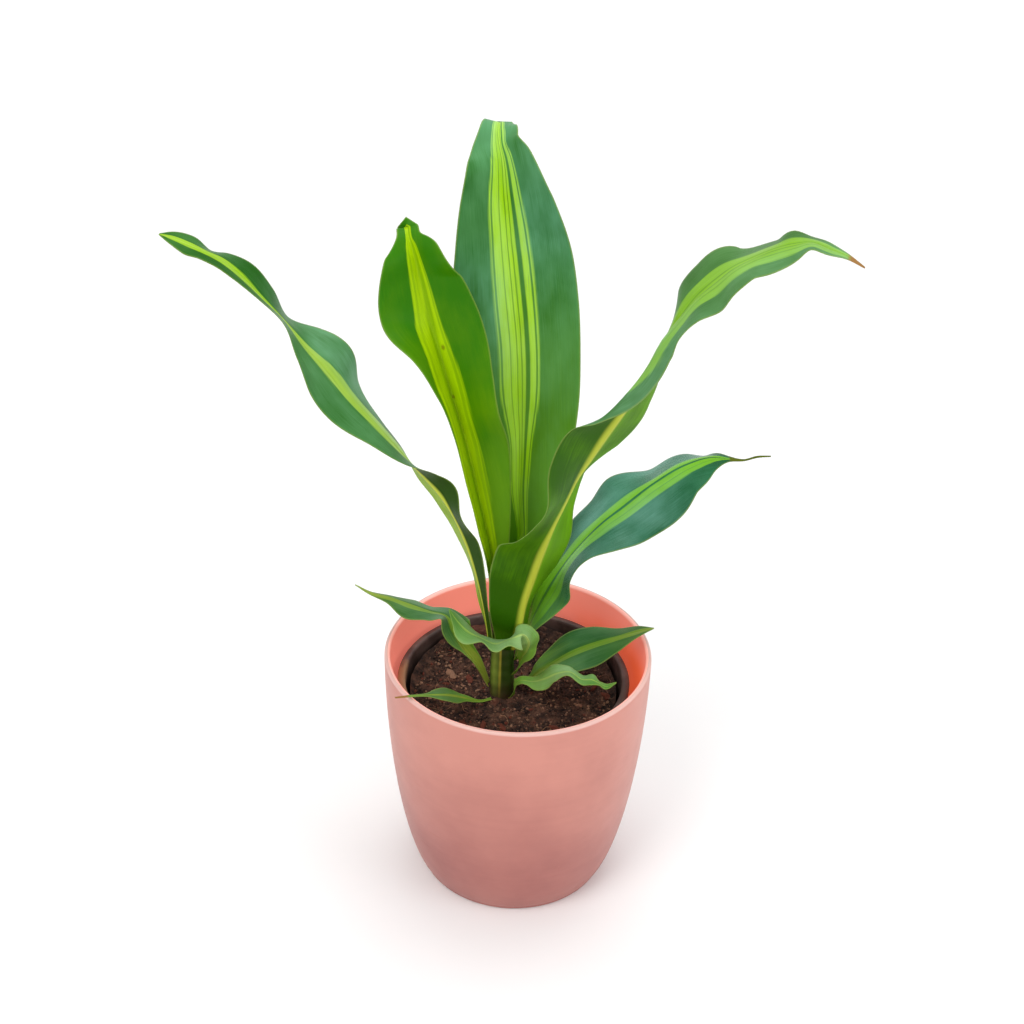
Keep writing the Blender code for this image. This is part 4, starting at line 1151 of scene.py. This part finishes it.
LEAVES = (
    Leaf("centre_leaf", "leaf_centre", "leaf_blue_green", CENTRE, (
        (-6.5, 5.8, 156, 5, 0, 0, 0, 56, 56), (-2, 6.9, 174, 7.8, 0, 10, 10, 28, 30),
        (-1, 9, 194, 12, 0, 25, 25, 10, 10), (-1.2, 15, 217, 19, 0, 25, 25),
        (-1.8, 23, 241, 26, 0, 15, 15), (-2.5, 31, 265, 30, 0, 15, 15), (-3.6, 39, 289, 31, 0, 15, 15),
        (-6.2, 46, 312, 31.5, 0, 15, 12), (-8.8, 54, 335, 30, 0, 25, 15),
        (-11.3, 62, 358, 25.5, 0, 28, 32), (-14, 70, 375, 19, 0, 30, 44),
        (-15.7, 75, 381.5, 13, 0, 20, 44), (-16.2, 80, 386.5, 9.5, 0, 25, 20),
        (-16, 87, 387.4, 6.5, 0, 5, 5), (-16.2, 94, 383.4, 5.5), (-16.4, 100, 378.6, 4),
        (-16.5, 104, 375, 0.6)),
        band=((0, 0, 0.4), (0.16, 0.14, 0.2), (0.23, -0.02, 0.24), (0.33, 0.02, 0.2), (0.42, 0.0, 0.34),
              (0.6, 0, 0.34), (0.71, -0.02, 0.36), (0.78, -0.04, 0.37), (0.87, 0.04, 0.34),
              (0.91, -0.05, 0.36), (1, 0, 0.5)),
        painted_sheen=((0, 0, 0), (0.4, 0.05, 0.1), (0.5, 0.3, 0.1), (0.62, 0.45, 0.2), (0.72, 0.1, 0.45),
               (0.8, 0.15, 0.3), (0.88, 0.35, 0.35), (0.93, 0.5, 0.6), (1, 0.5, 0.5)),
        tone_and_painted_light=((0, 0.3), (0.3, 0.2), (0.42, 0.25), (0.5, 0.5), (0.65, 0.35), (0.78, 0.2), (0.9, 0.7),
              (1, 1)),
        seed=3.0),
    Leaf("left_upright_leaf", "leaf_left_upright", "leaf_lime_striped", LIME, (
        (-13.6, -0.5, 153, 4.3, -92, 0, 0, 38, 38), (-13.6, -0.9, 162, 5.2, -84, 0, 0, 26, 22),
        (-13.1, -1.4, 173, 6.3, -50, 18, 18, 16, 14), (-14.4, -2, 192, 9, -10, 62, 35),
        (-18.7, -3, 216, 14, 0, 74, 25), (-22.9, -3, 236, 18, 0, 77, 22),
        (-27, -2, 255, 21, 0, 77, 22), (-32, 0, 273, 23, 0, 78, 35), (-37.5, 3, 290.5, 24, 0, 74, 26),
        (-42.4, 6, 307.5, 24.5, 0, 60, 16), (-47.3, 10, 323.5, 24, 0, 23, 20),
        (-50.7, 13, 337.5, 22, 0, 24, 30), (-54, 16, 351, 15.5, 0, 30, 42),
        (-56, 19, 356, 6.6, 0, 20, 20), (-57, 24, 358.8, 5.2, 0, 5, 5), (-57.5, 31, 355, 4.2),
        (-57.8, 37, 350.6, 3), (-58, 41, 347.2, 0.6)),
        band=((0, 0.1, 0.3), (0.25, -0.3, 0.66), (0.42, -0.36, 0.66), (0.6, -0.25, 0.58),
              (0.68, -0.13, 0.34), (0.75, -0.02, 0.23), (0.87, -0.02, 0.23), (1, 0, 0.4)),
        painted_sheen=((0, 0, 0), (1, 0, 0)),
        tone_and_painted_light=((0, 1), (0.2, 0.9), (0.4, 0.5), (0.6, 0.25), (0.75, 0.1), (1, 0)),
        flecks=((2.6, 157.0, 1.0), (0.8, 132.0, 0.8)), seed=11.0),
    Leaf("left_arching_leaf", "leaf_left_arching", "leaf_green", DEEP, (
        (-15, -1, 136, 4.6, -102, 0, 0, 38, 38), (-15.9, -1.6, 147, 5, -105, 0, 0, 22, 22),
        (-18, -0.6, 161, 6.3, -108), (-21.9, 4, 177, 8.8, -100, 16),
        (-28.3, 8, 196.4, 10.5, -115, 8, 8), (-35, 10, 211.6, 11, -108, -3, -3),
        (-41, 12, 220.5, 11.5, -122, 14, 14), (-48, 14, 228.4, 12, -110, 6, 6),
        (-58, 16, 239, 13, -82, -2, -2), (-70.5, 19, 253, 14, -64, -13, -13),
        (-85.7, 22, 269.3, 16.5, -44, -17, -17), (-97.7, 25, 284, 17.5, -34, 8, 8),
        (-107.3, 27, 294, 16.5, -56, 10, 10), (-116.4, 30, 305, 15, -82, 2, 2),
        (-127.8, 33, 316.3, 13, -70, 13, 13), (-138.2, 36, 327.3, 11.5, -60, 10, 10),
        (-146.7, 38, 334, 10, -64, -3, -3), (-154.5, 40, 337, 9, -70, -12, -12),
        (-163.2, 42, 340, 7.5, -50, -8, -8), (-170.9, 43, 342.5, 5, -52, -3, -3),
        (-177.2, 44, 343.4, 0.6, -50)),
        band=((0, 0, 0.3), (0.36, 0.25, 0.5), (0.45, 0.2, 0.4), (0.54, 0.1, 0.24), (0.62, 0, 0.17),
              (0.68, -0.04, 0.14), (0.78, -0.15, 0.24), (0.88, -0.15, 0.3), (0.93, -0.1, 0.22),
              (1, -0.1, 0.3)),
        painted_sheen=((0, 0, 0), (0.42, 0.1, 0.2), (0.55, 0.3, 0.6), (0.68, 0.2, 0.6), (0.72, 0.1, 0.2),
               (0.8, 0, 0.1), (1, 0, 0)),
        tone_and_painted_light=((0, 0.2), (0.42, 0.35), (0.55, 0.5), (0.7, 0.5), (0.76, 0.2), (0.9, 0.15), (1, 0.1)),
        seed=23.0),
    Leaf("right_arching_leaf", "leaf_right_arching", "leaf_lime_striped", ARCHING, (
        (-2.4, -5.1, 139, 9.4, 138, 0, 0, 66, 66), (0, -7.9, 152, 14, 150, 33, 20, 30, 20),
        (2.2, -10, 170, 18, 150, 33, 15, 20, 20), (5.8, -13, 188, 21.5, 150, 25, 10, 15, 15),
        (9.3, -17, 204, 22, 145, 23, 16, 8, 8), (14.5, -22, 223, 22, 120, 18, 8),
        (20, -28, 242, 22, 108, 13, 2), (25, -33, 259, 22, 104, 4, 4),
        (30.4, -38, 273, 22, 118, 8, 10), (37.7, -44, 291, 20, 126, 9, 20, 0, -20),
        (43.6, -48, 304, 19, 115, 2, 20, 0, -50), (49.5, -51, 317, 18.5, 105, -1, 35, 0, -110),
        (54.7, -54, 331.5, 18.5, 95, 0, 25, 0, -98), (60.5, -57, 348, 19, 80, -4, 30, 0, -84),
        (65.6, -60, 360, 19, 68, 3, 4), (71.6, -62, 369.4, 19, 62, 4, 4), (78, -64, 377, 18, 52),
        (85.5, -67, 385.6, 17, 62, -6, -6), (93.3, -68, 390.8, 15, 67, -9, -9),
        (101, -70, 395.6, 13, 60, -15, -15), (109, -71, 398.5, 11, 55, -5, -5),
        (115.6, -72, 400, 8.5, 71, -4, -4), (123, -74, 398, 5.5, 63), (130, -75, 395.6, 2.5, 60),
        (138, -76, 391, 0.6, 60)),
        band=((0, 0, 0.3), (0.55, 0, 0.35), (0.66, 0.3, 0.5), (0.7, 0.2, 0.5), (0.74, 0.04, 0.42),
              (0.82, 0.02, 0.4), (0.9, 0.04, 0.5), (0.95, 0.1, 0.6), (1, 0, 0.6)),
        painted_sheen=((0, 0, 0), (0.5, 0.2, 0.35), (0.64, 0.2, 0.4), (0.7, 0.1, 0.35), (0.8, 0.1, 0.15),
               (0.9, 0.1, 0.3), (1, 0.3, 0.4)),
        tone_and_painted_light=((0, 0), (0.12, 0.1), (0.2, 0.5), (0.35, 0.5), (0.45, 0.2), (0.65, 0.3), (0.8, 0.4),
              (0.9, 0.5), (1, 0.6)),
        seed=31.0, dry_from=0.975),
    Leaf("right_low_leaf", "leaf_right_low", "leaf_blue_green", LOW, (
        (-0.6, 1.2, 128, 5.3, 88, 0, 0, 35, 35), (3.2, 5.8, 138.5, 5.3, 75, 8, 8, 15, 15),
        (6.3, 8, 147.5, 7, 55, -5, -5), (13, 10, 164.3, 12.5, 15, -5, -5), (21, 13, 178.5, 16, 60),
        (31, 17, 191.5, 19, 58, 4, 5), (40.7, 20, 202, 21, 46, -10, -9),
        (51, 23, 210, 22, 30, -14, -15), (65.6, 27, 221.5, 23, 42, -30, -31),
        (82, 31, 231, 18, 52, -21, -21), (93.7, 32, 234.7, 11.5, 60, -25, -26),
        (103.3, 32, 233.8, 3, 60), (111.4, 32, 233.4, 1, 60), (117.4, 32, 235.4, 1, 60),
        (124.4, 32, 236, 0.6, 60)),
        band=((0, 0.1, 0.5), (0.12, 0.1, 0.5), (0.3, 0.08, 0.42), (0.5, 0.06, 0.26), (0.66, 0.04, 0.24),
              (0.76, 0.06, 0.3), (0.85, 0.05, 0.3), (1, 0, 0.3)),
        painted_sheen=((0, 0, 0), (0.25, 0, 0.1), (0.35, 0.1, 0.3), (0.45, 0.45, 0.25), (0.6, 0.25, 0.4),
               (0.75, 0.3, 0.1), (0.85, 0.2, 0), (1, 0, 0)),
        tone_and_painted_light=((0, 0.3), (0.3, 0.3), (0.5, 0.4), (0.7, 0.4), (0.82, 0.3), (1, 0)),
        seed=43.0, dry_from=0.885),
    Leaf("small_left_leaf", "leaf_small_left", "leaf_green", SMALL, (
        (-15.5, -0.5, 112, 4, -75, 0, 0, 35, 35), (-22.4, 3, 123, 5.2, -60, 30, 30),
        (-29.2, 6, 131.5, 6.5, -45, 30, 30), (-34.5, 8, 141, 10.5, -25, 35, 15),
        (-38, 12, 146.5, 11, -45, 30, -15), (-46, 14, 148, 9, -64, -9, -9),
        (-57, 17, 150, 9, -52, -21, -20), (-67, 20, 151.6, 5, -60, -14, -15),
        (-78, 21, 154, 2, -65, -5, -5), (-85.6, 22, 158, 0.6, -65)),
        band=((0, 0, 1.2), (0.2, 0, 0.8), (0.34, 0.1, 0.25), (0.5, -0.1, 0.14), (0.75, -0.1, 0.2),
              (0.86, -0.1, 0.6), (1, 0, 1)),
        painted_sheen=((0, 0, 0), (0.4, 0.1, 0), (0.5, 0.3, 0.3), (0.7, 0.3, 0.2), (0.8, 0, 0), (1, 0, 0)),
        tone_and_painted_light=((0, 1), (0.2, 0.8), (0.3, 0.4), (0.42, 0.1), (0.6, 0.4), (0.8, 0.6), (1, 0.8)),
        seed=51.0, steps=160),
    Leaf("small_front_leaf", "leaf_small_front", "leaf_pale_green", PALE, (
        (-1.3, -2.4, 121.5, 2.8, 112, 0, 0, 22, 22), (0.8, -4.5, 128.5, 3, 80, 10, 10),
        (2.2, -7, 135.8, 3.4, 25, 20, 20), (4.2, -10.3, 142, 5.8, -35, -15, -15),
        (5.3, -14, 150.2, 7.5, -25, -25, -25), (1.6, -17.2, 157.2, 7.5, -12, -52, -52),
        (-4.4, -19, 155.8, 8, -73, -15, -15), (-12, -20.2, 153.3, 8.5, -67, -7, -7),
        (-18.4, -19.5, 155.9, 8.5, -78, 0, -2), (-25.6, -18, 159, 8.5, -55, -17, -17),
        (-31.2, -15, 163, 6, -61, -2, -2), (-35.3, -13, 168.5, 0.6, -60)),
        painted_sheen=((0, 0, 0), (0.4, 0.1, 0.2), (0.6, 0.2, 0.5), (0.8, 0.1, 0.5), (1, 0, 0.2)),
        tone_and_painted_light=((0, 0.2), (0.3, 0.4), (0.5, 0.7), (0.7, 0.5), (0.9, 0.4), (1, 0.1)),
        seed=61.0, steps=180, across=12),
    Leaf("small_right_leaf", "leaf_small_right", "leaf_green", SMALL, (
        (-2.4, 6.1, 108.6, 3, 46, 0, 0, 16, 20), (4.7, 7, 109.5, 3.5, 70, 10, 10),
        (11.8, 7, 116.4, 6.5, 40), (18.5, 8, 121, 9.5, 41, 4, 4), (28.7, 8, 128.6, 12, 30),
        (38.9, 8, 134, 12.5, 35, -10, -10), (51.6, 7, 139.7, 9, 50, -13, -14),
        (63.6, 5, 145.4, 4.5, 60), (69.6, 4, 148, 0.6, 63)),
        band=((0, 0, 0.3), (0.3, 0.06, 0.16), (0.6, 0.05, 0.14), (0.8, 0.06, 0.2), (1, 0, 0.6)),
        painted_sheen=((0, 0, 0), (0.3, 0.25, 0.2), (0.5, 0.3, 0.25), (0.7, 0.15, 0.1), (1, 0, 0)),
        tone_and_painted_light=((0, 0.3), (0.4, 0.25), (0.7, 0.2), (0.9, 0.5), (1, 0.7)), seed=71.0, steps=160),
    Leaf("small_wavy_leaf", "leaf_small_wavy", "leaf_pale_green", PALE, (
        (-2.5, -5.2, 108.5, 3, 110, 0, 0, 20, 20), (2.2, -8, 121.1, 3, 50, 15, 15),
        (7.5, -9, 121.5, 4.5, 55), (14, -13, 126.5, 7.5, 48), (20.6, -16, 132.5, 7, 57),
        (26.6, -18, 135, 6, 70), (32.8, -20, 132, 5.5, 65), (38, -21.5, 133, 5.5, 60),
        (42, -22.5, 131.5, 3, 70), (44.5, -23, 130.3, 2.5, 55), (50, -24, 133.5, 0.6, 55)),
        painted_sheen=((0, 0, 0), (0.4, 0.3, 0.2), (0.6, 0.4, 0.1), (0.8, 0.1, 0), (1, 0, 0)),
        tone_and_painted_light=((0, 0.1), (0.3, 0.4), (0.6, 0.5), (0.85, 0.2), (1, 0.1)), seed=83.0, steps=170, across=12),
    Leaf("soil_leaf", "leaf_on_soil", "leaf_green", SMALL, (
        (-12.5, -5.1, 107.2, 1.2, -50), (-17.5, -9, 108.3, 1, -50), (-26.7, -17, 116, 2.5, -50),
        (-35.5, -28, 126, 5.5, -50), (-40, -33, 129.8, 4, -50), (-44.7, -37, 132.7, 1.6, -50),
        (-53.4, -43, 136.4, 0.9, -50), (-60.5, -47, 138.3, 0.6, -50)),
        band=((0, 0, 0.6), (0.4, 0, 0.2), (0.6, 0, 0.14), (1, 0, 0.5)),
        painted_sheen=((0, 0, 0), (0.4, 0.1, 0.2), (0.6, 0.1, 0.2), (1, 0, 0)),
        tone_and_painted_light=((0, 0.1), (0.4, 0.6), (0.6, 0.6), (1, 0.3)), seed=97.0, steps=150, across=10, dry_from=0.9),
)


# Studio


@dataclass
class Studio:
    """Pale floor, soft light and the camera."""

    lens: float = 68.0
    sensor: float = 36.0
    eye: tuple[float, float, float] = (-0.005, -0.8064, 0.7297)
    pitch: float = 32.339
    roll: float = 1.482
    floor_size: float = 9.0
    floor_colour: Colour = (0.93, 0.93, 0.93)
    sky: float = 0.75

    def build_floor(self) -> None:
        """A wide pale floor that the pot stands on."""
        half = self.floor_size / 2 / MM
        steps = np.linspace(-half, half, 25)
        points = [(x, y, 0.0) for x in steps for y in steps]
        floor = make_piece("studio_floor", np.array(points), grid_faces(25, 25, face=Face.BACK))
        paint = Paint("studio_floor_paint")
        soft = paint.noise(paint.place(), 3.0, 2.0)
        dull = tuple(c * 0.995 for c in self.floor_colour)
        colour = paint.mix(soft.rise(0.3, 0.7), self.floor_colour, dull)
        x, y, _ = paint.split(paint.place())
        far = ((x * x + y * y) ** 0.5).rise(0.6, 2.2)
        glow = paint.mix(far, (0.0, 0.0, 0.0), (0.3, 0.3, 0.3))
        floor.data.materials.append(paint.finish(Base_Color=colour, Roughness=0.9, Emission_Color=glow,
                                                 Emission_Strength=1.0))

    def build_light(self) -> None:
        """An even pale sky and three large soft lamps."""
        world = bpy.data.worlds.new("studio_sky")
        world.use_nodes = True
        world.node_tree.nodes["Background"].inputs["Color"].default_value = (1.0, 1.0, 1.0, 1.0)
        world.node_tree.nodes["Background"].inputs["Strength"].default_value = self.sky
        bpy.context.scene.world = world
        lamps = (
            ("key_lamp", (-0.7, -1.0, 1.7), 0.9, 13.0, (1.0, 0.99, 0.97)),
            ("fill_lamp", (1.3, -0.7, 0.9), 1.0, 6.0, (0.97, 0.98, 1.0)),
            ("top_lamp", (0.15, 0.5, 1.8), 1.2, 9.0, (1.0, 1.0, 1.0)),
        )
        aim = Vector((0.0, 0.0, 0.2))
        for name, place, size, power, colour in lamps:
            data = bpy.data.lights.new(name, "AREA")
            data.shape = "DISK"
            data.size = size
            data.energy = power
            data.color = colour
            lamp = bpy.data.objects.new(name, data)
            lamp.location = place
            lamp.rotation_euler = (aim - Vector(place)).to_track_quat("-Z", "Y").to_euler()
            bpy.context.scene.collection.objects.link(lamp)

    def build_camera(self) -> None:
        """The camera at the height and angle that the show side is seen from."""
        data = bpy.data.cameras.new("camera")
        data.lens = self.lens
        data.sensor_width = self.sensor
        camera = bpy.data.objects.new("camera", data)
        tilt = Matrix.Rotation(math.radians(90.0 - self.pitch), 4, "X")
        roll = Matrix.Rotation(math.radians(self.roll), 4, "Z")
        camera.matrix_world = Matrix.Translation(self.eye) @ tilt @ roll
        bpy.context.scene.collection.objects.link(camera)
        bpy.context.scene.camera = camera

    def build(self) -> None:
        """Set up the whole studio."""
        self.build_floor()
        self.build_light()
        self.build_camera()
        bpy.context.scene.view_settings.view_transform = "Standard"
        LOG.info("studio: floor, sky, lamps and camera")


def main() -> None:
    """Load the model, set up the studio and dress every piece."""
    logging.basicConfig(level=logging.INFO, format="%(name)s: %(message)s")
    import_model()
    Studio().build()
    Pots().build()
    SoilBed().build()
    Stem().build()
    for leaf in LEAVES:
        leaf.build()


if __name__ == "__main__":
    main()
